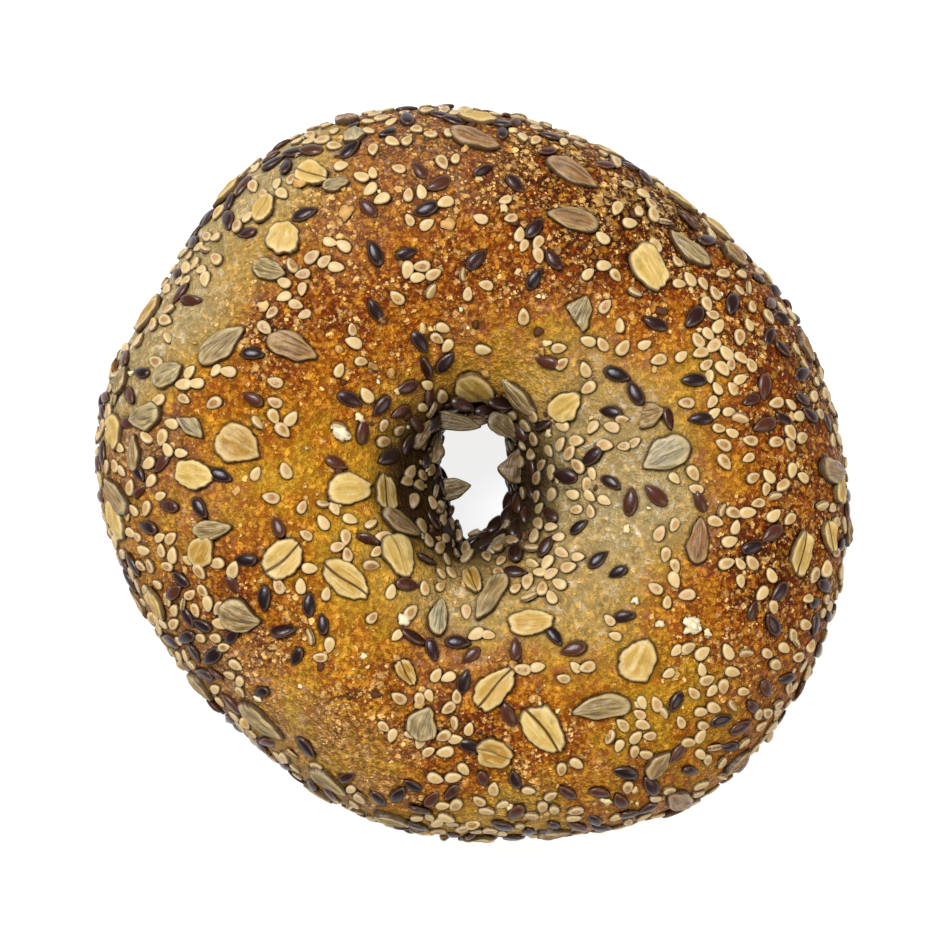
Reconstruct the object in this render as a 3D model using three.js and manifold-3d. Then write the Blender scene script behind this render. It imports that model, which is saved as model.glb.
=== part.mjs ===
// A multigrain bagel lying flat on its base: one ring of baked dough whose oat flakes, sunflower
// kernels, flax seeds and sesame seeds are baked into the crust, so the whole is one solid.
// Millimetres, +Z up. The origin is on the base plane, under the middle of the ring.
import * as THREE from "three";
import { mergeVertices } from "three/addons/utils/BufferGeometryUtils.js";
import Module from "manifold-3d";

// The ring of dough. Waves are [height, waves round the ring, angle of a crest in degrees].
const dough = {
  outerRadius: 56.9,
  outlineWaves: [[2.6, 2, 135], [0.34, 4, 14], [0.42, 5, 39], [0.29, 6, 2]],
  holeRadius: 7.2,
  holeWaves: [[2.0, 2, 94], [0.5, 1, 110]],
  crownAboveMiddle: 20.0,
  crownWaves: [[0.8, 1, 250], [0.6, 2, 20], [0.4, 3, 75]],
  middleHeight: 17.6,
  baseBelowMiddle: 19.6,
  fullness: 2.2,
  ringSteps: 52,
  sectionSteps: 20,
};
// Broad lumps of the risen dough: [height, waves round the ring, waves round the section, phase].
const lumps = [[0.5, 2, 1, 0.4], [0.42, 3, -1, 2.0], [0.36, 5, 1, 4.1], [0.26, 8, 2, 1.3]];
// Where the bagel baked against its neighbour its side is flattened.
const kissingSide = { angle: 149, halfWidth: 11, depth: 1.0 };
// The two ends of the rolled dough meet in a crease that runs out of the hole.
const joinCrease = { angle: 257, halfWidth: 8, depth: 2.0, fadeRadius: 24 };

// Each kind of topping: its usual length and width, its thickness, the share of that which stands
// proud, how far it narrows to its tip, and the facets of its rounded form.
const kinds = {
  oat: { length: 6.4, width: 4.4, thick: 1.3, proud: 0.62, taper: 0.1, around: 6, along: 4 },
  sunflower: { length: 7.2, width: 3.4, thick: 2.1, proud: 0.6, taper: 0.45, around: 6, along: 3 },
  flax: { length: 4.3, width: 2.2, thick: 1.1, proud: 0.66, taper: 0.4, around: 4, along: 3 },
  sesame: { length: 3.1, width: 2.0, thick: 0.95, proud: 0.68, taper: 0.35, around: 4, along: 3 },
};
const taperPower = 1.5;

// The large toppings are placed as they are seen from one point almost straight above the ring: their
// x and y are where they appear on the level plane through the ring's middle.
const eye = { x: -9, y: -19, aboveMiddle: 400 };
// One row each: x, y, the angle its tip points at, length, width.
const oatFlakes = [
  [-30.1, 37.5, 80, 5.5, 5.0], [-33.3, 42.0, 75, 4.9, 3.6], [-25.8, 47.3, -30, 6.2, 4.0],
  [-37.3, 5.0, -28, 7.4, 5.7], [-44.0, 0.2, -10, 6.6, 4.4], [-20.0, -2.2, 8, 6.9, 4.8],
  [-14.4, -2.7, 95, 5.7, 3.6], [-42.8, -11.8, 60, 5.0, 4.3], [-30.1, -12.8, 40, 6.6, 5.2],
  [-20.3, -16.3, -38, 7.9, 4.8], [-0.2, 13.9, -62, 7.6, 5.4], [13.9, 11.0, 35, 5.9, 4.3],
  [-12.3, -12.5, -70, 7.0, 4.8], [50.6, -11.9, 75, 7.0, 3.9], [55.0, -9.4, -62, 5.2, 3.4],
  [27.0, 32.7, -62, 8.0, 5.2], [2.7, -33.0, 45, 8.0, 4.7], [10.3, -39.4, -55, 8.3, 5.4],
  [2.8, -43.0, -15, 5.8, 4.8], [8.4, -23.0, 5, 6.7, 4.0], [25.1, -28.7, 60, 6.4, 5.6],
];
const sunflowerKernels = [
  [-0.3, 52.9, -32, 8.4, 4.0], [14.9, 47.6, -32, 9.0, 4.0], [14.9, 40.1, 166, 8.2, 3.9],
  [33.3, 35.8, 140, 8.2, 3.5], [15.8, 25.3, 65, 6.6, 4.4], [-32.4, 32.3, -20, 5.4, 3.5],
  [-39.7, 20.3, 38, 8.7, 4.0], [-28.9, 20.0, -22, 8.2, 4.2], [-48.0, 15.7, 25, 5.4, 4.1],
  [-51.6, 9.4, 188, 6.2, 4.1], [-44.5, 8.3, -50, 6.2, 3.0], [-41.1, -8.2, 5, 6.3, 2.9],
  [-36.7, -21.5, -15, 6.9, 4.9], [6.6, 12.8, 130, 7.9, 3.1], [-11.9, -7.3, -28, 7.1, 3.2],
  [2.2, -19.0, 242, 8.7, 3.4], [26.7, 9.7, 12, 5.3, 3.9], [29.6, 3.3, 208, 8.0, 4.9],
  [34.5, -10.0, 83, 7.3, 3.3], [-33.3, -37.9, -33, 8.7, 3.7], [-22.9, -47.2, -52, 7.2, 3.2],
  [19.3, -36.2, 188, 9.1, 3.8], [-8.2, -38.4, 75, 5.5, 4.5], [28.3, -44.8, 60, 5.3, 3.1],
];
// Toppings drawn at random over the crust. Sections run from low on the outer side to inside the
// hole, in half turns. spacing is the least distance of two middles as a share of their lengths' sum,
// and lowest is the lowest point that any may reach. Flakes and kernels keep to the rim; seeds lie
// thick from seedRim outwards and round the hole, with crownShare of that density on the crown.
const scatter = {
  seed: 20417, large: 16, small: 160, flaxShare: 0.32, oatShare: 0.5,
  firstSection: -0.28, sections: 1.15, leastSize: 0.88, sizeRange: 0.26, spacing: 0.46, lowest: 0.6,
  largeRim: [50, 55], seedRim: [38, 52], seedHole: [20, 12], crownShare: 0.4, ringWidth: 40,
};

const degrees = Math.PI / 180;
const signedPower = (x, power) => Math.sign(x) * Math.abs(x) ** power;
const bump = (distance, halfWidth) => Math.exp(-((distance / halfWidth) ** 2));
const ease = (low, high, x) => THREE.MathUtils.smoothstep(x, low, high);

function waves(list, ring) {
  return list.reduce((sum, [height, count, crest]) =>
    sum + height * Math.cos(count * (ring - crest * degrees)), 0);
}

function degreesApart(ring, angle) {
  const apart = ring / degrees - angle;
  return apart - 360 * Math.round(apart / 360);
}

// A point of the crust. ring goes round the hole; section goes round the cut face of the dough,
// from its outer side over the crown to the hole and back under the base.
function crustPoint(ring, section) {
  const outer = dough.outerRadius + waves(dough.outlineWaves, ring)
    - kissingSide.depth * bump(degreesApart(ring, kissingSide.angle), kissingSide.halfWidth);
  const inner = dough.holeRadius + waves(dough.holeWaves, ring);
  const across = signedPower(Math.cos(section), 2 / dough.fullness);
  const upward = signedPower(Math.sin(section), 2 / dough.fullness);
  const swell = lumps.reduce((sum, [height, round, over, phase]) =>
    sum + height * Math.cos(round * ring + over * section + phase), 0);
  const crown = dough.crownAboveMiddle + waves(dough.crownWaves, ring);
  let radius = (outer + inner) / 2 + across * (outer - inner) / 2
    + swell * Math.cos(section) * ease(-1, 0.4, across);
  let height = dough.middleHeight + upward * (upward > 0 ? crown : dough.baseBelowMiddle)
    + swell * Math.max(0, Math.sin(section));
  const crease = joinCrease.depth * ease(joinCrease.fadeRadius, inner, radius)
    * bump(degreesApart(ring, joinCrease.angle), joinCrease.halfWidth);
  radius += crease * Math.max(0, -across);
  height = Math.max(0, height - crease * Math.max(0, upward));
  return new THREE.Vector3(radius * Math.cos(ring), radius * Math.sin(ring), height);
}

// The crust's tangent along the ring and its outward normal, with the point where that normal
// meets the facets of the dough, so that a topping placed there is seated on them.
function crustFrame(ring, section) {
  const step = 0.01;
  const reach = 6;
  const along = crustPoint(ring + step, section).sub(crustPoint(ring - step, section)).normalize();
  const over = crustPoint(ring, section + step).sub(crustPoint(ring, section - step));
  const normal = along.clone().cross(over).normalize();
  const start = crustPoint(ring, section).addScaledVector(normal, reach);
  const ray = new THREE.Raycaster(start, normal.clone().negate(), 0, 2 * reach);
  const [hit] = ray.intersectObject(bareDough);
  return { point: hit.point, along, normal };
}

// The place on the crust that appears at x and y from the eye, found by halving the top's section
// until its distance from the axis is that of the point that the sight line meets.
function placeSeenAt(x, y) {
  const from = new THREE.Vector3(eye.x, eye.y, dough.middleHeight + eye.aboveMiddle);
  const towards = new THREE.Vector3(x, y, dough.middleHeight).sub(from).normalize();
  const [{ point }] = new THREE.Raycaster(from, towards).intersectObject(bareDough);
  const ring = Math.atan2(point.y, point.x);
  const halvings = 30;
  let low = 0;
  let high = Math.PI;
  for (let i = 0; i < halvings; i += 1) {
    const middle = (low + high) / 2;
    const p = crustPoint(ring, middle);
    if (Math.hypot(p.x, p.y) > Math.hypot(point.x, point.y)) low = middle;
    else high = middle;
  }
  return { ring, section: (low + high) / 2 };
}

// The same short run of random numbers every time: a multiplicative generator on 31 bits.
function makeDraw(seed) {
  let state = seed;
  return () => {
    state = (state * 16807) % 2147483647;
    return state / 2147483647;
  };
}

function doughGeometry() {
  const ringRadius = (dough.outerRadius + dough.holeRadius) / 2;
  const tubeRadius = (dough.outerRadius - dough.holeRadius) / 2;
  const shape = new THREE.TorusGeometry(ringRadius, tubeRadius, dough.sectionSteps, dough.ringSteps);
  const position = shape.getAttribute("position");
  for (let i = 0; i < position.count; i += 1) {
    const p = new THREE.Vector3().fromBufferAttribute(position, i);
    const section = Math.atan2(p.z, Math.hypot(p.x, p.y) - ringRadius);
    const q = crustPoint(Math.atan2(p.y, p.x), section);
    position.setXYZ(i, q.x, q.y, q.z);
  }
  return shape;
}

// One topping lying flat on the crust. Its tip points along +X of its own frame and turn sets
// which way that lies on the crust; its flat side faces out.
function toppingGeometry(kind, frame, turn, length, width) {
  const { thick, proud, taper, around, along } = kinds[kind];
  const shape = new THREE.SphereGeometry(1, around, along).rotateZ(-Math.PI / 2);
  const position = shape.getAttribute("position");
  for (let i = 0; i < position.count; i += 1) {
    const x = position.getX(i);
    const narrowed = 1 - taper * Math.max(0, x) ** taperPower;
    position.setXYZ(i, x * length / 2, -position.getZ(i) * narrowed * width / 2,
      position.getY(i) * narrowed * thick / 2);
  }
  const side = frame.normal.clone().cross(frame.along);
  const tip = frame.along.clone().multiplyScalar(Math.cos(turn)).addScaledVector(side, Math.sin(turn));
  const place = new THREE.Matrix4().makeBasis(tip, frame.normal.clone().cross(tip), frame.normal);
  place.setPosition(frame.point.clone().addScaledVector(frame.normal, (proud - 0.5) * thick));
  return shape.applyMatrix4(place);
}

// A large topping placed by eye: heading is its tip's direction as seen from above.
function placedTopping(kind, [x, y, heading, length, width]) {
  const { ring, section } = placeSeenAt(x, y);
  const frame = crustFrame(ring, section);
  const side = frame.normal.clone().cross(frame.along);
  const aim = new THREE.Vector3(Math.cos(heading * degrees), Math.sin(heading * degrees), 0);
  const turn = Math.atan2(aim.dot(side), aim.dot(frame.along));
  return { geometry: toppingGeometry(kind, frame, turn, length, width), spot: frame.point, length };
}

// Random toppings lie thick on the side and round the hole, thinner on the crown and not under it.
function scatteredToppings(taken) {
  const draw = makeDraw(scatter.seed);
  const made = [];
  while (made.length < scatter.large + scatter.small) {
    const ring = 2 * Math.PI * draw();
    const section = Math.PI * (scatter.firstSection + scatter.sections * draw());
    const keep = draw();
    const turn = 2 * Math.PI * draw();
    const size = scatter.leastSize + scatter.sizeRange * draw();
    const pick = draw();
    const large = made.length < scatter.large;
    const frame = crustFrame(ring, section);
    const radius = Math.hypot(frame.point.x, frame.point.y);
    const wanted = large ? ease(...scatter.largeRim, radius) : scatter.crownShare
      + (1 - scatter.crownShare) * (ease(...scatter.seedRim, radius) + ease(...scatter.seedHole, radius));
    let kind = pick < scatter.flaxShare ? "flax" : "sesame";
    if (large) kind = pick < scatter.oatShare ? "oat" : "sunflower";
    const length = kinds[kind].length * size;
    const width = kinds[kind].width * size;
    const clear = taken.every(({ spot, length: other }) =>
      spot.distanceTo(frame.point) > scatter.spacing * (other + length));
    if (keep * Math.min(1, radius / scatter.ringWidth) > wanted || !clear) continue;
    if (frame.point.z - length / 2 < scatter.lowest) continue;
    taken.push({ spot: frame.point, length });
    made.push(toppingGeometry(kind, frame, turn, length, width));
  }
  return made;
}

const wasm = await Module();
wasm.setup();

function toSolid(geometry) {
  const bare = geometry.clone();
  bare.deleteAttribute("normal");
  bare.deleteAttribute("uv");
  const merged = mergeVertices(bare, 1e-4);
  return new wasm.Manifold(new wasm.Mesh({
    numProp: 3,
    vertProperties: merged.getAttribute("position").array,
    triVerts: new Uint32Array(merged.index.array),
  }));
}

function toGeometry(solid) {
  const mesh = solid.getMesh();
  const geometry = new THREE.BufferGeometry();
  geometry.setAttribute("position", new THREE.BufferAttribute(mesh.vertProperties, 3));
  geometry.setIndex(new THREE.BufferAttribute(mesh.triVerts, 1));
  return geometry;
}

// The toppings' frames are found on this ring before anything is joined to it.
const bareDough = new THREE.Mesh(doughGeometry());
const placed = [
  ...oatFlakes.map((row) => placedTopping("oat", row)),
  ...sunflowerKernels.map((row) => placedTopping("sunflower", row)),
];
const toppings = [...placed.map(({ geometry }) => geometry), ...scatteredToppings(placed)];
const joined = toppings.reduce((solid, topping) => solid.add(toSolid(topping)), toSolid(bareDough.geometry));
// A loose scrap is dropped: only the largest body is kept.
const baked = joined.decompose().reduce((most, body) => (body.volume() > most.volume() ? body : most));
const crustGeometry = toGeometry(baked);
crustGeometry.computeBoundingBox();
const middle = crustGeometry.boundingBox.getCenter(new THREE.Vector3());
crustGeometry.translate(-middle.x, -middle.y, 0);
crustGeometry.computeVertexNormals();

const crust = new THREE.MeshStandardMaterial({ color: 0xa8702c, roughness: 0.55, metalness: 0 });
const bagel = new THREE.Mesh(crustGeometry, crust);
bagel.name = "bagel";

const group = new THREE.Group();
group.add(bagel);

export default group;
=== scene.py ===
import math

import bmesh
import bpy
from mathutils import Matrix, Vector, noise
from mathutils.bvhtree import BVHTree


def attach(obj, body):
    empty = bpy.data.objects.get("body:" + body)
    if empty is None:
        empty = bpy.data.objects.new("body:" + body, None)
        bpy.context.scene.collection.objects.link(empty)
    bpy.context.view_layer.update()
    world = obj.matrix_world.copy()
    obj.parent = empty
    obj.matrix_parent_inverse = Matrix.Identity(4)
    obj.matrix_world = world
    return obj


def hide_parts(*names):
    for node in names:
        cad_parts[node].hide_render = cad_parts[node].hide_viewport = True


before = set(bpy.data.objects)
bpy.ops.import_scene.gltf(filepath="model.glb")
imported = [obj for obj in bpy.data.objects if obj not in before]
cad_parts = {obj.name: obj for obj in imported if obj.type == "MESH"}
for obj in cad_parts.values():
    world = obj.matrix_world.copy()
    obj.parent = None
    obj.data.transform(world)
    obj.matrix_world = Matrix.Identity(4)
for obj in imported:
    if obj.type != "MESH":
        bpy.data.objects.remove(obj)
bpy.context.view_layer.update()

# A multigrain bagel on a pale table, seen from almost straight above.
# Shapes are worked out in millimetres round the ring's own axis, and written in metres.
metres = 0.001
ringCentre = Vector((0.64, -0.55, 0.0))  # the ring's axis, from the middle of the outline with its toppings
bodyName = "root"
ringNode = "bagel"

# The ring of dough. Waves are (height, waves round the ring, angle of a crest in degrees).
dough = {
    "outerRadius": 56.9,
    "outlineWaves": [(2.6, 2, 135), (0.34, 4, 14), (0.42, 5, 39), (0.29, 6, 2)],
    "holeRadius": 7.2,
    "holeWaves": [(2.0, 2, 94), (0.5, 1, 110)],
    "crownAboveMiddle": 20.0,
    "crownWaves": [(0.8, 1, 250), (0.6, 2, 20), (0.4, 3, 75)],
    "middleHeight": 17.6,
    "baseBelowMiddle": 19.6,
    "fullness": 2.2,
    "swellFade": (-1, 0.4),  # lumps fade between these places across the ring
    "lumps": [(0.5, 2, 1, 0.4), (0.42, 3, -1, 2.0), (0.36, 5, 1, 4.1), (0.26, 8, 2, 1.3)],
    "kissingSide": {"angle": 149, "halfWidth": 11, "depth": 1.0},  # baked against its neighbour
    "joinCrease": {"angle": 257, "halfWidth": 8, "depth": 2.0, "fadeRadius": 24},
    "ringSteps": 552,
    "sectionSteps": 176,
    "crownCrowding": 0.25,  # how much closer the steps lie over the crown than under the base
}

# The skin of the baked dough, as heights in mm and sizes of the forms in mm.
skin = {
    "swells": (0.3, 13.0),
    "dents": (0.16, 4.2),
    "blisters": (0.2, 2.6),
    "blisterReach": 0.52,
    "grit": (0.07, 1.1),
    "wrinkles": (0.2, 1.5, 7.0),  # height, across and along
    "roughPatches": [(-20, -35, 6), (-16, -43, 7), (13, 44, 9), (-26, 41, 6), (-33, 22, 5), (-30, -26, 6),
                     (33, -29, 5), (8, -46, 7), (24, 40, 6)],
    "roughHeight": 0.42,
    "roughSize": 1.5,
    "roughOctaves": (0.7, 2.1, 3),
    "wrinkledPatches": [(17, 9, 7), (-2, -20, 6), (-3, -29, 5), (20, -5, 9)],
    "apart": (Vector((7.3, 1.9, 4.4)), Vector((3.1, 9.2, 5.7))),  # so that dents and grit don't line up
    "flushBelow": (0.4, 5.0),  # no relief at the first height, all of it at the second
    "blisterToast": (0.4, 0.75),
    "patchesAbove": 15,
    "wrinkleTurns": 16.0,
    "wrinkleSpread": 0.25,
    "wrinkleSlice": 8.5,
    "baseLift": 0.22,
    "baseReach": 1.6,
    "baseDrift": 6.0,
    # How crowded the toasted crumbs are: everywhere, where it is browned, and in the rough patches.
    "fleck": {"least": 0.06, "browned": 0.6, "brownedFrom": 0.45, "rough": 0.85, "most": 1.3},
}
faint = 0.05  # a share too small to work out

# How the sides are baked, below the spots of the top. Heights and sizes in mm, shares from 0 to 1.
bakedSide = {
    "topReach": (8, 24),  # between these heights the spots of the top take over
    "toast": 0.4,
    "drift": (0.16, 16.0),
    "floor": (0.3, 1.0, 9.0),  # browner by this where it stood on the oven's floor
    "paleHalfWidth": 34,
    "paler": (0.26, 1.0, 6.0),
    "paleGrey": 0.6,
    "plain": (0.05, 0.5),  # weight and browning where no spot reaches
}

# Painted shade in the throat of the hole, darkening the crust and the toppings towards it: middle in metres,
# radius in mm where it starts and where it is darkest.
throatShade = {"centre": (-0.001, -0.0016, 0.0), "rim": 17.5, "wall": 10.2, "colour": "#190d05",
          "crustDarkest": 0.97, "seedsDarkest": 0.6}

# How far the crust is browned and how grey its unbrowned skin is, one soft spot a row:
# x, y, reach in mm, browning from 0 to 1, greyness from 0 to 1.
toastSpots = [
    (-28, -5, 12, 0.44, 0.0), (-23, 14, 9, 0.58, 0.0), (-36, 10, 7, 0.56, 0.0), (-28, 23, 8, 0.78, 0.0),
    (-9, 29, 10, 0.67, 0.0), (-20, 38, 8, 0.64, 0.25), (-6, 49, 8, 0.72, 0.25), (13, 45, 9, 0.83, 0.0),
    (7, 27, 9, 0.69, 0.0), (20, 35, 9, 0.88, 0.0), (29, 43, 8, 1.0, 0.0), (26, 24, 8, 0.63, 0.0),
    (44, 27, 8, 0.78, 0.0), (32, 13, 7, 0.42, 0.1), (47, 11, 9, 0.80, 0.0), (38, 1, 6, 0.56, 0.0),
    (51, -2, 8, 0.68, 0.0), (19, 7, 7, 0.40, 0.9), (22, -5, 9, 0.17, 0.9), (13, 18, 7, 0.34, 0.4),
    (0, 17, 6, 0.42, 0.2), (-10, 8, 6, 0.42, 0.2), (-12, -13, 8, 0.38, 0.15), (13, -20, 8, 0.28, 0.6),
    (-3, -20, 6, 0.28, 0.8), (-6, -29, 5, 0.70, 0.2), (31, -19, 7, 0.62, 0.0), (42, -14, 7, 0.85, 0.0),
    (47, -22, 7, 0.70, 0.0), (25, -33, 9, 0.43, 0.0), (41, -34, 7, 0.56, 0.1), (10, -33, 8, 0.60, 0.0),
    (1, -45, 9, 0.71, 0.0), (-15, -32, 8, 0.60, 0.0), (-18, -45, 7, 0.50, 0.3), (19, -48, 8, 0.56, 0.1),
    (-23, -21, 8, 0.48, 0.0), (-34, -19, 8, 0.72, 0.0), (-40, -29, 8, 0.59, 0.4), (-43, -6, 7, 0.57, 0.25),
    (-50, 5, 5, 0.74, 0.4), (-44, 28, 8, 0.12, 0.8), (-35, 30, 5, 0.36, 0.4), (-33, 46, 8, 0.0, 0.7),
    (4, -55, 8, 0.0, 0.2), (-28, -40, 7, 0.44, 0.4), (48, 30, 6, 0.56, 0.0), (-56, 12, 6, 0.14, 0.9),
]

# The photograph's eye, in mm from the ring's axis, and what its picture spans there.
eye = {
    "place": Vector((-9.0, -19.0, dough["middleHeight"] + 400.0)),
    "aim": Vector((-1.0, 0.9, dough["middleHeight"])),
    "pictureWidth": 147.0,
    "sensor": 36.0,
    "drawnIn": (1.0, 0.99, 0.98, 0.97, 0.96, 0.95),
}


def toLinear(hexColour):
    channels = [int(hexColour[i:i + 2], 16) / 255 for i in (1, 3, 5)]
    return tuple(c / 12.92 if c <= 0.04045 else ((c + 0.055) / 1.055) ** 2.4 for c in channels) + (1.0,)


def ease(low, high, x):
    t = min(1.0, max(0.0, (x - low) / (high - low)))
    return t * t * (3 - 2 * t)


def bump(distance, halfWidth):
    return math.exp(-((distance / halfWidth) ** 2))


def signedPower(x, power):
    return math.copysign(abs(x) ** power, x)


def waves(rows, ring):
    return sum(height * math.cos(count * (ring - math.radians(crest))) for height, count, crest in rows)


def degreesApart(ring, angle):
    apart = math.degrees(ring) - angle
    return apart - 360 * round(apart / 360)


# A point of the dough. ring goes round the hole; section goes round the cut face of the dough,
# from its outer side over the crown to the hole and back under the base.
def crustPoint(ring, section):
    side = dough["kissingSide"]
    join = dough["joinCrease"]
    outer = (dough["outerRadius"] + waves(dough["outlineWaves"], ring)
             - side["depth"] * bump(degreesApart(ring, side["angle"]), side["halfWidth"]))
    inner = dough["holeRadius"] + waves(dough["holeWaves"], ring)
    across = signedPower(math.cos(section), 2 / dough["fullness"])
    upward = signedPower(math.sin(section), 2 / dough["fullness"])
    swell = sum(height * math.cos(count * ring + over * section + phase)
                for height, count, over, phase in dough["lumps"])
    crown = dough["crownAboveMiddle"] + waves(dough["crownWaves"], ring)
    radius = ((outer + inner) / 2 + across * (outer - inner) / 2
              + swell * math.cos(section) * ease(*dough["swellFade"], across))
    height = (dough["middleHeight"] + upward * (crown if upward > 0 else dough["baseBelowMiddle"])
              + swell * max(0.0, math.sin(section)))
    crease = (join["depth"] * (1 - ease(inner, join["fadeRadius"], radius))
              * bump(degreesApart(ring, join["angle"]), join["halfWidth"]))
    radius += crease * max(0.0, -across)
    height = max(0.0, height - crease * max(0.0, upward))
    return Vector((radius * math.cos(ring), radius * math.sin(ring), height))


def spotWeight(p, x, y, reach):
    return bump(math.hypot(p.x - x, p.y - y), reach)


# How browned and how grey the crust is at a point: the soft spots over the top, and below them
# a side that is paler at half height and brown again where it stood on the oven's floor.
def browning(p):
    total, plainToast = bakedSide["plain"]
    toast, grey = total * plainToast, 0.0
    for x, y, reach, level, greyness in toastSpots:
        weight = spotWeight(p, x, y, reach)
        total += weight
        toast += weight * level
        grey += weight * greyness
    toast, grey = toast / total, grey / total
    top = ease(*bakedSide["topReach"], p.z)
    drift, driftSize = bakedSide["drift"]
    browner, standing, lifted = bakedSide["floor"]
    paler, low, high = bakedSide["paler"]
    sideToast = (bakedSide["toast"] + drift * noise.noise(p / driftSize)
                 + browner * (1 - ease(standing, lifted, p.z)))
    fromKissing = degreesApart(math.atan2(p.y, p.x), dough["kissingSide"]["angle"])
    paleSide = bump(fromKissing, bakedSide["paleHalfWidth"])
    sideToast -= paler * paleSide * ease(low, high, p.z)
    toast = sideToast + (toast - sideToast) * top
    grey = grey * top + (1 - top) * bakedSide["paleGrey"] * paleSide
    return toast, grey


def roughness(p):
    return min(1.0, sum(spotWeight(p, x, y, reach) for x, y, reach in skin["roughPatches"]))


# The skin's height over the smooth dough: swells and dents, blisters where the crust is browned,
# crumbly patches, and wrinkles in the pale skin that run out from the hole.
def reliefAt(p, toast):
    dentsApart, gritApart = skin["apart"]
    height = skin["swells"][0] * noise.noise(p / skin["swells"][1])
    height += skin["dents"][0] * noise.noise(p / skin["dents"][1] + dentsApart)
    nearest = noise.voronoi(p / skin["blisters"][1])[0][0]
    dome = max(0.0, 1 - (nearest / skin["blisterReach"]) ** 2)
    height += skin["blisters"][0] * dome * ease(*skin["blisterToast"], toast)
    height += skin["grit"][0] * noise.noise(p / skin["grit"][1] + gritApart)
    rough = roughness(p)
    if rough > faint and p.z > skin["patchesAbove"]:
        crumbly = abs(noise.fractal(p / skin["roughSize"], *skin["roughOctaves"]))
        height += skin["roughHeight"] * rough * crumbly
    wrinkled = min(1.0, sum(spotWeight(p, x, y, reach) for x, y, reach in skin["wrinkledPatches"]))
    if wrinkled > faint and p.z > skin["patchesAbove"]:
        tall, acrossSize, alongSize = skin["wrinkles"]
        radius = math.hypot(p.x, p.y)
        angle = math.atan2(p.y, p.x) * skin["wrinkleTurns"]
        across = angle / acrossSize + skin["wrinkleSpread"] * radius
        fold = noise.noise(Vector((across, radius / alongSize, skin["wrinkleSlice"])))
        height += tall * wrinkled * (1 - 2 * abs(fold))
    return height * ease(*skin["flushBelow"], p.z)


def shapeCrust():
    ringRadius = (dough["outerRadius"] + dough["holeRadius"]) / 2
    tubeRadius = (dough["outerRadius"] - dough["holeRadius"]) / 2
    crust = bmesh.new()
    bmesh.ops.create_circle(crust, segments=dough["sectionSteps"], radius=tubeRadius)
    bmesh.ops.rotate(crust, verts=crust.verts, matrix=Matrix.Rotation(math.pi / 2, 3, "X"))
    bmesh.ops.translate(crust, verts=crust.verts, vec=(ringRadius, 0, 0))
    bmesh.ops.spin(crust, geom=crust.verts[:] + crust.edges[:], cent=(0, 0, 0), axis=(0, 0, 1),
                   angle=2 * math.pi, steps=dough["ringSteps"], use_merge=True)
    for v in crust.verts:
        section = math.atan2(v.co.z, math.hypot(v.co.x, v.co.y) - ringRadius)
        section += dough["crownCrowding"] * math.cos(section)
        v.co = crustPoint(math.atan2(v.co.y, v.co.x), section)
    bmesh.ops.recalc_face_normals(crust, faces=crust.faces)
    crust.normal_update()
    return crust


def bakeCrust(crust):
    toastLayer = crust.verts.layers.float.new("toast")
    greyLayer = crust.verts.layers.float.new("grey")
    fleckLayer = crust.verts.layers.float.new("fleck")
    fleck = skin["fleck"]
    for v in crust.verts:
        toast, grey = browning(v.co)
        v[toastLayer] = toast
        v[greyLayer] = grey
        browned = ease(fleck["brownedFrom"], skin["blisterToast"][1], toast)
        v[fleckLayer] = min(fleck["most"], fleck["least"] + fleck["browned"] * browned
                            + fleck["rough"] * roughness(v.co))
        under = 1 - ease(0.0, skin["baseReach"], v.co.z)
        rise = reliefAt(v.co, toast)
        v.co += v.normal * rise
        v.co.z += skin["baseLift"] * under * (1 + noise.noise(v.co / skin["baseDrift"]))
    crust.normal_update()


# The same run of random numbers every time: a multiplicative generator on 31 bits.
def makeDraw(seed):
    state = [seed]
    factor, modulus = 16807, 2147483647

    def draw():
        state[0] = state[0] * factor % modulus
        return state[0] / modulus
    return draw


print("dough: shaping the ring and its skin")
crustShape = shapeCrust()
smoothTree = BVHTree.FromBMesh(crustShape)
bakeCrust(crustShape)
skinTree = BVHTree.FromBMesh(crustShape)


# The frame of a topping on the crust: the skin's point under it, the dough's normal there, and the
# direction round the ring. A topping is let down onto the skin along that normal.
def seatAt(point, normal):
    reach = 6.0
    hit = skinTree.ray_cast(point + normal * reach, -normal, 2 * reach)[0]
    if hit is None:
        hit = point
    along = Vector((-point.y, point.x, 0)).normalized()
    along = (along - normal * along.dot(normal)).normalized()
    return {"point": hit, "normal": normal, "along": along}


# Where the sight line through a place in the picture meets the dough. Beyond the rim the place is
# drawn in until it does. None means that the line goes down the hole.
def seatSeenAt(x, y):
    start = eye["place"]
    for share in eye["drawnIn"]:
        sight = (Vector((x * share, y * share, dough["middleHeight"])) - start).normalized()
        point, normal = smoothTree.ray_cast(start, sight)[:2]
        if point:
            return seatAt(point, normal)
    return None


def seatOnRing(ring, section):
    step = 0.01
    along = crustPoint(ring + step, section) - crustPoint(ring - step, section)
    over = crustPoint(ring, section + step) - crustPoint(ring, section - step)
    return seatAt(crustPoint(ring, section), along.cross(over).normalized())


def turnTo(seat, heading):
    aim = Vector((math.cos(math.radians(heading)), math.sin(math.radians(heading)), 0))
    side = seat["normal"].cross(seat["along"])
    return math.atan2(aim.dot(side), aim.dot(seat["along"]))


# Where a topping lies: its tip along X, its flat face out along Z, its middle raised by lift.
def placing(seat, turn, lift, pitch=0.0, roll=0.0):
    side = seat["normal"].cross(seat["along"])
    tip = seat["along"] * math.cos(turn) + side * math.sin(turn)
    place = Matrix((tip, seat["normal"].cross(tip), seat["normal"])).transposed().to_4x4()
    place.translation = seat["point"] + seat["normal"] * lift
    return place @ Matrix.Rotation(pitch, 4, "Y") @ Matrix.Rotation(roll, 4, "X")


# A piece caught in the throat, by the height of its middle and the slope of its tip.
def wedging(x, y, z, heading, slope):
    turned = Matrix.Rotation(math.radians(heading), 4, "Z") @ Matrix.Rotation(math.radians(slope), 4, "Y")
    return Matrix.Translation((x, y, z)) @ turned


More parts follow.
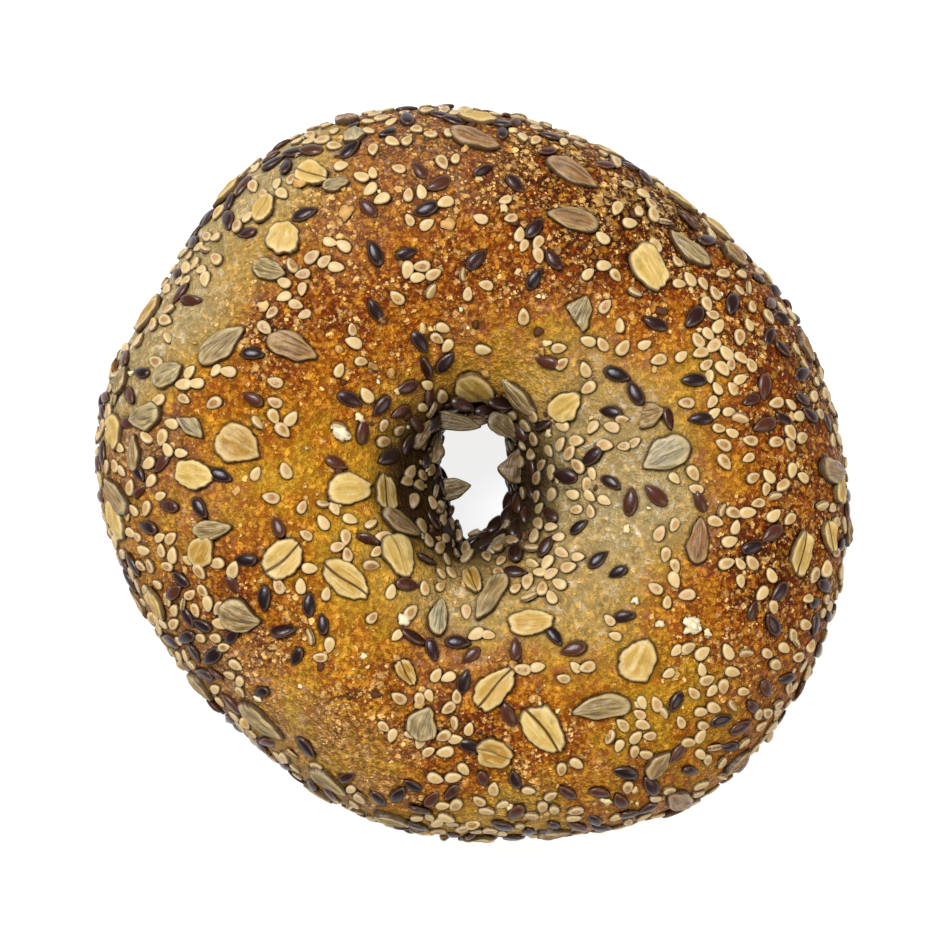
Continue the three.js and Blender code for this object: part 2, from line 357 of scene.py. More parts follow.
# Short names for the nodes and sums that the materials use most.
mathNode, vectorNode, mixNode = "ShaderNodeMath", "ShaderNodeVectorMath", "ShaderNodeMix"
rangeNode, rampNode, noiseNode = "ShaderNodeMapRange", "ShaderNodeValToRGB", "ShaderNodeTexNoise"
layerNode, placeNode, bumpNode = "ShaderNodeAttribute", "ShaderNodeTexCoord", "ShaderNodeBump"
times, timesPlus = {"operation": "MULTIPLY"}, {"operation": "MULTIPLY_ADD"}
plus, minus, larger = {"operation": "ADD"}, {"operation": "SUBTRACT"}, {"operation": "MAXIMUM"}
isLess, scaled, unsigned = {"operation": "LESS_THAN"}, {"operation": "SCALE"}, {"operation": "ABSOLUTE"}
smooth, colours = {"interpolation_type": "SMOOTHSTEP"}, {"data_type": "RGBA"}
acrossOnly = {"operation": "MULTIPLY", 1: (1, 1, 0)}  # drops the height from a place


# Adds a node and gives its output called out, or the node itself where out is None. settings are
# its options and fixed inputs, links are inputs fed by a socket or a number, and stops are a
# colour ramp's places and colours, its two ends first.
def addNode(tree, kind, settings=None, links=None, out=0):
    node = tree.nodes.new(kind)
    for name, value in {**(settings or {}), **(links or {})}.items():
        if name == "stops":
            for i, (place, hexColour) in enumerate(value):
                stop = node.color_ramp.elements[i] if i < 2 else node.color_ramp.elements.new(place)
                stop.position = place
                stop.color = toLinear(hexColour)
        elif isinstance(value, bpy.types.NodeSocket):
            tree.links.new(value, node.inputs[name])
        elif isinstance(name, str) and hasattr(node, name):
            setattr(node, name, value)
        else:
            node.inputs[name].default_value = value
    return node if out is None else node.outputs[out]


# Mixes a colour in: none of it where value is at low, and most of it where value is at high.
def tint(tree, colour, value, low, high, most, hexColour, curve="SMOOTHSTEP"):
    limits = {"interpolation_type": curve, "From Min": low, "From Max": high, "To Max": most}
    share = addNode(tree, rangeNode, limits, {"Value": value})
    return addNode(tree, mixNode, {**colours, 7: toLinear(hexColour)}, {0: share, 6: colour}, out=2)


def startMaterial(name):
    material = bpy.data.materials.new(name)
    material.use_nodes = True
    tree = material.node_tree
    shader = tree.nodes["Principled BSDF"]
    return material, tree, shader


flushHeight = 0.02  # what lies underneath is pressed flush with the base


def finishPiece(name, shape, material):
    for v in shape.verts:
        v.co.z = max(v.co.z, flushHeight)
    bmesh.ops.translate(shape, verts=shape.verts, vec=ringCentre)
    bmesh.ops.scale(shape, verts=shape.verts, vec=(metres, metres, metres))
    for face in shape.faces:
        face.smooth = True
    mesh = bpy.data.meshes.new(name)
    shape.to_mesh(mesh)
    shape.free()
    mesh.materials.append(material)
    piece = bpy.data.objects.new(name, mesh)
    bpy.context.scene.collection.objects.link(piece)
    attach(piece, bodyName)
    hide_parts(ringNode)
    mesh.calc_loop_triangles()
    print(f"{name}: {len(mesh.loop_triangles)} triangles")


# Painted shade down in the hole: the crust and what lies on it are darkened towards the throat, where little
# light reaches.
def paintThroatShade(tree, place, colour, darkest):
    flat = addNode(tree, vectorNode, acrossOnly, {0: place})
    away = addNode(tree, vectorNode, {"operation": "DISTANCE", 1: throatShade["centre"]}, {0: flat}, out="Value")
    rim, wall = throatShade["rim"] * metres, throatShade["wall"] * metres
    return tint(tree, colour, away, rim, wall, darkest, throatShade["colour"])


# What the toppings' materials share: the place and tone they start from, their own coordinates
# with how far out a point lies, from 0 in the middle to 1 at the edge, and how they end.
def startTopping(name):
    material, tree, shader = startMaterial(name)
    place = addNode(tree, placeNode, out="Object")
    tone = addNode(tree, layerNode, {"attribute_name": "tone"}, out="Fac")
    return (material, tree, shader), place, tone


def ownShape(tree):
    own = addNode(tree, layerNode, {"attribute_name": "own"}, out="Vector")
    flat = addNode(tree, vectorNode, acrossOnly, {0: own})
    return own, addNode(tree, vectorNode, {"operation": "LENGTH"}, {0: flat}, out="Value")


def endTopping(made, place, colour, height, look):
    material, tree, shader = made
    strength, tall = look["bump"]
    # Painted shade in the throat goes into every topping's colour.
    tree.links.new(paintThroatShade(tree, place, colour, throatShade["seedsDarkest"]), shader.inputs["Base Color"])
    relief = addNode(tree, bumpNode, {"Strength": strength, "Distance": tall * metres}, {"Height": height})
    tree.links.new(relief, shader.inputs["Normal"])
    shader.inputs["Roughness"].default_value = look["roughness"]
    shader.inputs["Specular IOR Level"].default_value = look["specular"]
    return material


# The crust's pattern, by real sizes in mm, and its colours from unbrowned to nearly burnt.
crustLook = {
    "patches": (6.0, 4.0, 0.6),  # size, detail and roughness of a noise, here and in the next two
    "mottle": (2.2, 3.0, 0.6),
    "grain": (0.8, 2.0, 0.7),
    "folds": 3.6,
    "crumbs": (1.25, 0.8, 0.52),
    "wobble": (0.5, 0.8),  # its size and how far it bends the crumbs' edges
    # reach of the painted contact shade round the seeds, in mm
    "contactShade": 0.62,
    "relief": 0.32,
    "gloss": (0.3, 0.62),
    "specular": 0.06,
    "speckle": (0.42, 0.5, 0.6),  # its middle, and its depth where crisp and everywhere
    "browner": (0.48, 0.3, -0.12),  # by patches, mottle and speckle
    "browningShift": -0.39,
    "bloomClouds": (1.5, -0.05),
    "wrinkleShown": 0.6,
    "crowding": {"From Min": 0.42, "From Max": 0.66, "To Min": 0.06, "To Max": 0.62},
    "crumbBrightness": (0.75, 0.25),
    "softShare": 0.45,
    "darkGapsAndShadeShown": 0.7,
    "softShown": (-0.4, 0.48),  # less of it on grey skin
    "crumbAndHighlightShown": 0.9,
    "darkest": 0.34,
    # Painted light, partly: the grain is lighter where speckle, soft grain and mottle also raise the relief.
    "grainAndCrestLight": (0.4, 0.3, 1.1),  # by speckle, soft grain and mottle
    "heights": (1.6, 0.25, 0.9, 0.5, 0.4),  # of mottle, crisp grain, crumbs, wrinkles and soft grain
    "browning": [(0.0, "#b19966"), (1.0, "#230e05"), (0.2, "#a5833f"), (0.4, "#a17615"), (0.55, "#914f05"),
                 (0.68, "#722d03"), (0.82, "#4f1e05")],
    "bloom": "#938563",
    "wrinkle": "#cbc6b4",
    # The crumb and soft-grain colours are toasted colour and partly painted highlight on the raised grains;
    # the dark brown after them is partly painted shade in the gaps.
    "crumbAndHighlight": "#deae68",
    "softGrainAndLight": "#cc912e",
    "darkGapsAndShade": "#3f1a07",
}


# Boiled and baked wheat dough: a thin satin skin that browns unevenly, golden to red-brown, with fine toasted
# blisters that catch the light and a greyish bloom where it stayed pale.
# Its colour also holds painted light: lighter crumbs, grains and crests, and painted shade in the gaps, round
# the seeds and down the throat.
def crustMaterial():
    material, tree, shader = startMaterial("bakedBagelCrust")
    place = addNode(tree, placeNode, out="Object")
    toast, grey, fleck = (addNode(tree, layerNode, {"attribute_name": name}, out="Fac")
                          for name in ("toast", "grey", "fleck"))
    patches, mottle, grain = (
        addNode(tree, noiseNode, {"Scale": 1 / (size * metres), "Detail": detail, "Roughness": uneven},
                {"Vector": place})
        for size, detail, uneven in (crustLook["patches"], crustLook["mottle"], crustLook["grain"]))
    crisp = addNode(tree, rangeNode, {**smooth, "From Min": 0.4, "From Max": 0.62}, {"Value": grain})
    middle, whereCrisp, everywhere = crustLook["speckle"]
    depth = addNode(tree, mathNode, timesPlus, {0: fleck, 1: whereCrisp, 2: everywhere})
    speckle = addNode(tree, mathNode, minus, {0: crisp, 1: middle})
    speckle = addNode(tree, mathNode, times, {0: speckle, 1: depth})

    # Browner and paler in patches, and lighter on each grain of the skin.
    browned = toast
    for layer, share in zip((patches, mottle, speckle), crustLook["browner"]):
        browned = addNode(tree, mathNode, timesPlus, {0: layer, 1: share, 2: browned})
    browned = addNode(tree, mathNode, plus, {0: browned, 1: crustLook["browningShift"]})
    colour = addNode(tree, rampNode, {"stops": crustLook["browning"]}, {0: browned})
    cloudShare, cloudShift = crustLook["bloomClouds"]
    cloudy = addNode(tree, mathNode, timesPlus, {0: patches, 1: cloudShare, 2: cloudShift})
    bloom = addNode(tree, mathNode, times, {0: grey, 1: cloudy})

    # Soft pale wrinkles, half a millimetre wide, where the skin stayed unbrowned.
    folds = addNode(tree, noiseNode, {"Scale": 1 / (crustLook["folds"] * metres), "Detail": 2.0,
                    "Distortion": 0.8}, {"Vector": place})
    crest = addNode(tree, mathNode, minus, {0: folds, 1: 0.5})
    crest = addNode(tree, mathNode, unsigned, {0: crest})
    wrinkle = addNode(tree, rangeNode, {**smooth, "From Min": 0.06, "From Max": 0.0}, {"Value": crest})
    broken = addNode(tree, rangeNode, {"From Min": 0.45, "From Max": 0.6}, {"Value": mottle})
    for layer in (broken, grey):
        wrinkle = addNode(tree, mathNode, times, {0: wrinkle, 1: layer})
    paleFold = addNode(tree, mathNode, times, {0: wrinkle, 1: crustLook["wrinkleShown"]})

    # Toasted crumbs of skin from half a millimetre to 1.2 mm, crowded where it is rough: pale on their raised
    # tops, partly as painted highlight, on a darker brown that is partly painted shade in the gaps between
    # them.
    wobbleSize, bending = crustLook["wobble"]
    wobble = addNode(tree, noiseNode, {"Scale": 1 / (wobbleSize * metres), "Detail": 1.0},
                     {"Vector": place}, out="Color")
    bent = addNode(tree, vectorNode, {"operation": "MULTIPLY_ADD", 1: (bending * metres,) * 3},
                   {0: wobble, 2: place})
    crowded = addNode(tree, rangeNode, crustLook["crowding"], {"Value": patches})
    crowded = addNode(tree, mathNode, times, {0: crowded, 1: fleck})
    crumbs, soft = 0.0, 0.0
    for size in crustLook["crumbs"]:
        cells = addNode(tree, "ShaderNodeTexVoronoi", {"Scale": 1 / (size * metres)}, {"Vector": bent},
                        out=None)
        chances = addNode(tree, "ShaderNodeSeparateColor", links={0: cells.outputs["Color"]}, out=None)
        spot = addNode(tree, rangeNode, {**smooth, "From Min": 0.56, "From Max": 0.34},
                       {"Value": cells.outputs["Distance"]})
        brighter, dimmest = crustLook["crumbBrightness"]
        bright = addNode(tree, mathNode, timesPlus, {0: chances.outputs[1], 1: brighter, 2: dimmest})
        chosen = addNode(tree, mathNode, isLess, {0: chances.outputs[0], 1: crowded})
        dim = addNode(tree, mathNode, isLess, {0: chances.outputs[2], 1: crustLook["softShare"]})
        for layer in (spot, bright):
            chosen = addNode(tree, mathNode, times, {0: chosen, 1: layer})
            dim = addNode(tree, mathNode, times, {0: dim, 1: layer})
        crumbs = addNode(tree, mathNode, larger, {0: crumbs, 1: chosen})
        soft = addNode(tree, mathNode, larger, {0: soft, 1: dim})
    # A darker brown between the crumbs: crust colour and partly painted shade in the gaps.
    darkGapsAndShade = addNode(tree, mathNode, minus, {0: 1.0, 1: crumbs})
    for layer in (crowded, crustLook["darkGapsAndShadeShown"]):
        darkGapsAndShade = addNode(tree, mathNode, times, {0: darkGapsAndShade, 1: layer})
    onGrey, elsewhere = crustLook["softShown"]
    softGrainAndLight = addNode(tree, mathNode, timesPlus, {0: grey, 1: onGrey, 2: elsewhere})
    softGrainAndLight = addNode(tree, mathNode, times, {0: softGrainAndLight, 1: soft})
    crumbAndHighlight = addNode(tree, mathNode, times, {0: crumbs, 1: crustLook["crumbAndHighlightShown"]})
    layers = {"bloom": bloom, "wrinkle": paleFold, "darkGapsAndShade": darkGapsAndShade, "softGrainAndLight": softGrainAndLight, "crumbAndHighlight": crumbAndHighlight}
    for name, share in layers.items():
        colour = addNode(tree, mixNode, {**colours, 7: toLinear(crustLook[name])}, {0: share, 6: colour},
                         out=2)

    # Fine light and dark grain, partly tone and partly painted light on the crests of the relief, and a
    # painted shade line where a seed meets the crust.
    value = crustLook["darkest"]
    for layer, share in zip((speckle, soft, mottle), crustLook["grainAndCrestLight"]):
        value = addNode(tree, mathNode, timesPlus, {0: layer, 1: share, 2: value})
    contactShade = addNode(tree, "ShaderNodeAmbientOcclusion", {"samples": 4,
                      "Distance": crustLook["contactShade"] * metres}, out="AO")
    shadeLine = addNode(tree, rangeNode, {"From Min": 0.5, "From Max": 0.95, "To Min": 0.05}, {"Value": contactShade})
    value = addNode(tree, mathNode, times, {0: value, 1: shadeLine})
    colour = addNode(tree, vectorNode, scaled, {0: colour, "Scale": value})
    # Painted shade down the throat.
    colour = paintThroatShade(tree, place, colour, throatShade["crustDarkest"])
    tree.links.new(colour, shader.inputs["Base Color"])

    height = grain
    for layer, share in zip((mottle, crisp, crumbs, wrinkle, soft), crustLook["heights"]):
        height = addNode(tree, mathNode, timesPlus, {0: layer, 1: share, 2: height})
    relief = addNode(tree, bumpNode, {"Strength": 1.0, "Distance": crustLook["relief"] * metres},
                     {"Height": height})
    tree.links.new(relief, shader.inputs["Normal"])
    glossiest, dullest = crustLook["gloss"]
    gloss = addNode(tree, rangeNode, {"To Min": glossiest, "To Max": dullest}, {"Value": patches})
    tree.links.new(gloss, shader.inputs["Roughness"])
    shader.inputs["Specular IOR Level"].default_value = crustLook["specular"]
    return material


finishPiece("bagelCrust", crustShape, crustMaterial())

# Each kind of seed: length, width and thickness in mm, the share that stands proud of the skin, and
# the shape of one: how far it narrows to its tip, how flat its faces are, how blunt its back is
# and how far it may bend.
sesame = {"length": 2.75, "width": 1.75, "thick": 0.85, "proud": 0.7, "taper": 0.42, "flatness": 0.42,
          "blunt": 0.28, "bend": 0.16, "around": 12, "rings": 6, "variants": 8}
flax = {"length": 4.15, "width": 2.1, "thick": 1.05, "proud": 0.68, "taper": 0.52, "flatness": 0.75,
        "blunt": 0.1, "bend": 0.18, "around": 12, "rings": 6, "variants": 6}
seedForm = {"leastTaper": 0.8, "moreTaper": 0.4, "tipCurve": 1.5, "tipThinner": 0.35, "seed": 311}


def makeSeeds(kind, draw):
    made = []
    for number in range(kind["variants"]):
        seed = bmesh.new()
        bmesh.ops.create_uvsphere(seed, u_segments=kind["around"], v_segments=kind["rings"], radius=1)
        own = seed.verts.layers.float_vector.new("own")
        seed.verts.layers.float.new("tone")
        taper = kind["taper"] * (seedForm["leastTaper"] + seedForm["moreTaper"] * draw())
        bend = kind["bend"] * (2 * draw() - 1)
        for v in seed.verts:
            x, y, z = v.co
            v[own] = (x, y, 0)
            narrowed = 1 - taper * max(0.0, x) ** seedForm["tipCurve"] + kind["blunt"] * max(0.0, -x)
            plump = signedPower(z, kind["flatness"]) * (1 - seedForm["tipThinner"] * max(0.0, x) ** 2)
            v.co = (x * kind["length"] / 2, (y * narrowed + bend * (1 - x * x)) * kind["width"] / 2,
                    plump * kind["thick"] / 2)
        mesh = bpy.data.meshes.new(f"seedShape{number}")
        seed.to_mesh(mesh)
        seed.free()
        made.append(mesh)
    return made


def joinSeeds(shapes, places):
    joined = bmesh.new()
    for number, (place, tone) in enumerate(places):
        one = shapes[number % len(shapes)].copy()
        one.transform(place)
        one.attributes["tone"].data.foreach_set("value", [tone] * len(one.vertices))
        joined.from_mesh(one, face_normals=False, vertex_normals=False)
        bpy.data.meshes.remove(one)
    bmesh.ops.recalc_face_normals(joined, faces=joined.faces)
    return joined


# Toasted sesame: dry, satin, pale tan with a lighter rim and a dark edge of painted shade where it sits in
# the crust. A rim or shaded edge is where it starts and ends, how much of it shows, and its colour.
sesameLook = {
    "tones": [(0.2, "#bfa16b"), (1.4, "#85572a"), (0.6, "#b5945b"), (1.0, "#a67f49")],
    "grain": (0.6, 3.0),
    "rim": (0.35, 0.68, 0.7, "#cdb380"),
    "shadedEdge": (0.82, 0.97, 0.85, "#3f210c"),
    "bump": (0.5, 0.08),
    "roughness": 0.42,
    "specular": 0.35,
}
# Brown flax: a hard glossy seed coat, near black-brown, with a thin lighter edge and a darker outline of
# painted shade.
flaxLook = {
    "tones": [(0.2, "#140705"), (1.4, "#45200f"), (0.85, "#290f09")],
    "grain": (0.5, 2.0),
    "rim": (0.68, 0.86, 0.3, "#7d5c45"),
    "shadedEdge": (0.9, 1.0, 1.0, "#1d0d07", "LINEAR"),
    "bump": (0.4, 0.07),
    "roughness": 0.3,
    "specular": 0.32,
}


def seedMaterial(name, look):
    made, place, tone = startTopping(name)
    tree = made[1]
    rim = ownShape(tree)[1]
    size, detail = look["grain"]
    speck = addNode(tree, noiseNode, {"Scale": 1 / (size * metres), "Detail": detail}, {"Vector": place})
    mixed = addNode(tree, mathNode, timesPlus, {0: speck, 1: 0.5, 2: tone})
    colour = addNode(tree, rampNode, {"stops": look["tones"]}, {0: mixed})
    colour = tint(tree, colour, rim, *look["rim"])
    # Painted shade: a dark outline round the seed where it meets the crust.
    colour = tint(tree, colour, rim, *look["shadedEdge"])
    return endTopping(made, place, colour, speck, look)


# Large toppings placed as they are seen: x, y, the angle the tip points at, length, width, and a
# look from 0 to 1. An oat's look is how deep its furrow is; a kernel's runs from grey to brown.
oatFlakes = [
    (-30.1, 37.5, 80, 5.5, 5.0, 0.1), (-33.3, 42.0, 75, 4.9, 3.6, 0.3), (-25.8, 47.3, -30, 6.2, 4.0, 0.8),
    (-37.3, 5.0, -28, 7.4, 5.7, 0.0), (-44.0, 0.2, -10, 6.6, 4.4, 0.0), (-20.0, -2.2, 8, 6.9, 4.8, 0.1),
    (-14.4, -2.7, 95, 5.7, 3.6, 1.0), (-42.8, -11.8, 60, 5.0, 4.3, 0.0), (-30.1, -12.8, 40, 6.6, 5.2, 1.0),
    (-20.3, -16.3, -38, 7.9, 4.8, 1.0), (-0.2, 13.9, -62, 7.6, 5.4, 0.1), (13.9, 11.0, 35, 5.9, 4.3, 0.0),
    (-12.3, -12.5, -70, 7.0, 4.8, 0.3), (50.6, -11.9, 75, 7.0, 3.9, 1.0), (55.0, -9.4, -62, 5.2, 3.4, 0.9),
    (27.0, 32.7, -62, 8.0, 5.2, 0.0), (2.7, -33.0, 45, 8.0, 4.7, 1.0), (10.3, -39.4, -55, 8.3, 5.4, 1.0),
    (2.8, -43.0, -15, 5.8, 4.8, 0.5), (8.4, -23.0, 5, 6.7, 4.0, 0.0), (25.1, -28.7, 60, 6.4, 5.6, 0.0),
]
sunflowerKernels = [
    (-0.3, 52.9, -32, 8.4, 4.0, 0.6), (14.9, 47.6, -32, 9.0, 4.0, 0.6), (14.9, 40.1, 166, 8.2, 3.9, 0.5),
    (33.3, 35.8, 140, 8.2, 3.5, 0.25), (15.8, 25.3, 65, 6.6, 4.4, 0.2), (-32.4, 32.3, -20, 5.4, 3.5, 0.3),
    (-39.7, 20.3, 38, 8.7, 4.0, 0.3), (-28.9, 20.0, -22, 8.2, 4.2, 0.55), (-48.0, 15.7, 25, 5.4, 4.1, 0.2),
    (-51.6, 9.4, 188, 6.2, 4.1, 0.2), (-44.5, 8.3, -50, 6.2, 3.0, 0.1), (-41.1, -8.2, 5, 6.3, 2.9, 0.3),
    (-36.7, -21.5, -15, 6.9, 4.9, 0.35), (6.6, 12.8, 130, 7.9, 3.1, 0.3), (-11.9, -7.3, -28, 7.1, 3.2, 0.45),
    (2.2, -19.0, 242, 8.7, 3.4, 0.3), (26.7, 9.7, 12, 5.3, 3.9, 0.4), (29.6, 3.3, 208, 8.0, 4.9, 0.0),
    (34.5, -10.0, 83, 7.3, 3.3, 0.8), (-33.3, -37.9, -33, 8.7, 3.7, 0.25),
    (-22.9, -47.2, -52, 7.2, 3.2, 0.25), (19.3, -36.2, 188, 9.1, 3.8, 0.3),
    (-8.2, -38.4, 75, 5.5, 4.5, 0.2), (28.3, -44.8, 60, 5.3, 3.1, 0.4),
]
# Smaller flakes and kernels seen on the rim and in the funnel.
moreOats = [
    (0.2, 56.2, -5, 6.0, 4.0, 0.3), (-38.9, 44.5, 48, 6.5, 4.0, 0.4), (-51.1, 25.2, 62, 6.5, 4.0, 0.2),
    (-55.9, -6.7, 100, 7.0, 4.5, 0.0), (-56.3, 6.7, -70, 5.5, 4.0, 0.2), (38.0, 39.2, -48, 6.0, 4.0, 0.6),
    (32.2, 43.6, -50, 6.0, 4.0, 0.2), (-24.4, -48.8, -20, 5.0, 3.5, 0.1), (-0.6, -16.3, -65, 5.5, 2.8, 0.8),
    (-11.1, -30.5, -60, 4.4, 2.6, 0.9), (-49.6, -20.0, -65, 5.4, 3.4, 0.2), (56.5, -2.0, 80, 4.4, 3.0, 0.4),
]
moreKernels = [
    (-22.0, 45.6, 10, 4.2, 2.2, 0.15), (40.2, 34.5, -55, 5.0, 3.6, 0.5), (-55.2, 14.8, 65, 4.6, 2.6, 0.3),
    (-53.1, 3.6, 92, 5.8, 2.2, 0.4), (-5.9, -22.0, 80, 6.0, 2.8, 0.0), (57.7, -8.3, 90, 5.4, 2.6, 0.6),
    (40.5, -44.2, 35, 5.4, 2.6, 0.5), (-19.4, 53.4, 90, 3.8, 3.4, 0.1), (-44.0, -33.5, -50, 5.6, 3.0, 0.3),
    (-13.0, -53.0, -25, 6.0, 2.8, 0.2), (12.0, -55.0, 10, 5.2, 2.6, 0.5), (52.0, 20.5, -70, 5.0, 2.8, 0.6),
]
# Pieces wedged in the throat: x, y, height of the middle, heading and slope of the tip in degrees.
wedgedKernels = [
    (-3.6, 8.0, 26.5, -12, -6, 8.4, 3.0, 0.3), (-6.6, 4.0, 25.0, 82, 12, 5.4, 2.6, 0.4),
    (-3.7, -2.2, 22.0, 12, -6, 5.6, 3.4, 0.3), (6.0, 1.3, 24.5, 75, 8, 6.0, 4.6, 0.5),
    (4.0, -11.0, 28.2, 28, 12, 7.0, 2.6, 0.4), (3.9, 7.4, 26.5, -40, 10, 5.6, 3.4, 0.3),
    (-8.6, 5.8, 28.5, 60, 10, 5.4, 2.4, 0.4), (0.6, 8.8, 25.0, 5, 5, 5.0, 2.4, 0.5),
]
# Flax and sesame packed round the throat, in the same terms.
wedgedSeeds = [
    ("flax", 2.6, -7.6, 22.0, 60, 35), ("flax", 4.6, -6.2, 23.0, 75, 30), ("flax", 6.2, -4.4, 24.0, 95, 30),
    ("flax", 3.6, -9.4, 25.5, 50, 30), ("flax", 5.8, -8.2, 26.5, 70, 35), ("flax", 7.4, -6.2, 27.0, 80, 35),
    ("flax", 0.8, -9.8, 24.0, 30, 25), ("flax", 1.4, -11.6, 27.5, 20, 20), ("flax", 8.2, -2.4, 27.0, 100, 30),
    ("flax", 4.8, -4.0, 19.5, 85, 30), ("flax", 2.2, -8.8, 19.5, 40, 30), ("flax", 7.2, -9.6, 29.0, 60, 25),
    ("sesame", -3.0, -9.4, 24.0, 100, 40), ("sesame", -4.4, -7.8, 24.5, 95, 40),
    ("sesame", -5.6, -6.2, 25.0, 90, 35), ("flax", -6.6, -4.2, 25.0, 100, 35),
    ("sesame", -4.6, -10.6, 27.5, 110, 30), ("flax", -6.4, -9.0, 28.0, 105, 30),
    ("flax", -6.8, 0.6, 24.5, 80, 30), ("flax", -8.4, 2.4, 27.0, 100, 25), ("flax", -8.2, -1.8, 27.0, 85, 25),
    ("sesame", -1.8, -11.4, 27.0, 95, 30), ("flax", -2.4, 10.4, 28.5, -20, 15),
    ("flax", 1.2, 9.6, 25.5, 10, 15), ("flax", 3.2, 10.4, 28.5, -15, 15), ("flax", -6.8, 7.6, 28.0, 60, 20),
    ("sesame", 7.0, 4.6, 26.0, 95, 30), ("sesame", 8.2, 3.0, 28.0, 80, 25), ("flax", 6.2, 6.4, 26.5, 130, 20),
]
# In these rules and forms a pair is how much and how often, or the least and what chance adds to it.
largeRule = {"seed": 20417, "count": 16, "firstSection": -0.28, "sections": 1.15, "rim": (50, 55),
             "spacing": 0.46, "lowest": 0.6, "oatShare": 0.5, "sizes": (0.88, 0.26), "looks": (0.25, 0.5),
             "thinnedWithin": 40}
oat = {
    "length": 6.4,
    "width": 4.4,
    "thick": 1.15,
    "proud": 0.8,
    "around": 44,
    "rings": 16,
    "tones": (0.1, 0.6),
    "ragged": [(0.16, 1.5), (0.12, 3.4), (0.06, 9.0)],  # how far the edge wanders, and how often
    "furrow": (0.35, 0.3),  # depth and half width
    "ridges": (0.1, 9, 0.2),  # height, number and how far they wander
    "sway": (1.5, 2),  # how often they wander along and across
    "curl": (0.55, 1.3),
    "flatness": 0.4,
    "narrowing": 0.2,
    "draped": 0.9,  # how closely it follows the dough under it
}
sunflower = {
    "length": 7.2,
    "width": 3.4,
    "thick": 1.9,
    "proud": 0.62,
    "around": 36,
    "rings": 24,
    "taper": (0.62, 2.6),
    "uneven": (0.3, 1.7),
    "dents": (0.3, 2.2),
    "swelling": (0.1, 0.2, 0.3),  # height, place across and half width
    "ribs": (0.13, 8, 0.25),  # height, number and how far they wander
    "sway": (1.2, 2),  # how often they wander along and across
    "bend": 0.35,
    "flatness": 0.55,
    "halfWidth": 0.55,
    "thinTip": (0.35, 0.65),  # its thickness at the tip, and what its width adds
    "break": (-0.3, 0.4),  # where a broken one ends, and how slanting
    "broken": (25, 31, 37),  # numbers of the ones with a blunt broken end
    "wedgedFrom": 200,
}


# Flakes and kernels that the eye doesn't reach, on the rim and the side, by the rule of the solid.
def drawLarge(taken):
    draw = makeDraw(largeRule["seed"])
    leastSize, moreSize = largeRule["sizes"]
    leastLook, moreLook = largeRule["looks"]
    made = []
    while len(made) < largeRule["count"]:
        ring = 2 * math.pi * draw()
        section = math.pi * (largeRule["firstSection"] + largeRule["sections"] * draw())
        keep = draw()
        turn = 2 * math.pi * draw()
        size = leastSize + moreSize * draw()
        pick = draw()
        spot = crustPoint(ring, section)
        radius = math.hypot(spot.x, spot.y)
        kind = oat if pick < largeRule["oatShare"] else sunflower
        length = kind["length"] * size
        clear = all((other - spot).length > largeRule["spacing"] * (its + length) for other, its in taken)
        thinned = keep * min(1.0, radius / largeRule["thinnedWithin"])
        if thinned > ease(*largeRule["rim"], radius) or not clear:
            continue
        if spot.z - length / 2 < largeRule["lowest"]:
            continue
        taken.append((spot, length))
        made.append((kind, seatOnRing(ring, section), turn, length, kind["width"] * size,
                     leastLook + moreLook * keep))
    return made


def makeOat(length, width, furrow, number):
    flake = bmesh.new()
    bmesh.ops.create_uvsphere(flake, u_segments=oat["around"], v_segments=oat["rings"], radius=1)
    ownLayer = flake.verts.layers.float_vector.new("own")
    furrowLayer = flake.verts.layers.float.new("furrow")
    toneLayer = flake.verts.layers.float.new("tone")
    own = Vector((number * 3.7, number * 1.3, 0.5))  # its own place in the noise
    leastTone, moreTone = oat["tones"]
    tone = leastTone + moreTone * noise.cell(own)
    furrowDepth, furrowWidth = oat["furrow"]
    ridgeHeight, ridgeCount, wander = oat["ridges"]
    along, across = oat["sway"]
    curlHeight, curlCount = oat["curl"]
    for v in flake.verts:
        x, y, z = v.co
        out = math.hypot(x, y)
        around = Vector((x, y, 0)).normalized() if out > 0.01 else Vector()
        ragged = sum(far * noise.noise(around * often + own) for far, often in oat["ragged"])
        v[ownLayer] = (x, y, number)
        v[furrowLayer] = furrow
        v[toneLayer] = tone
        trough = furrow * bump(y, furrowWidth) * (1 - out ** 4)
        sway = wander * noise.noise(Vector((x * along, y * across, number)))
        ridges = ridgeHeight * math.cos(ridgeCount * (y + sway)) * (1 - out ** 4)
        curl = curlHeight * out ** 3 * noise.noise(around * curlCount + own)
        upper = ridges - furrowDepth * trough if z > 0 else 0.0
        height = signedPower(z, oat["flatness"]) * 0.5 + upper + curl
        spread = 1 + ragged * out ** 3
        narrowed = 1 - oat["narrowing"] * x
        v.co = (x * spread * length / 2, y * spread * narrowed * width / 2, height * oat["thick"])
    return flake


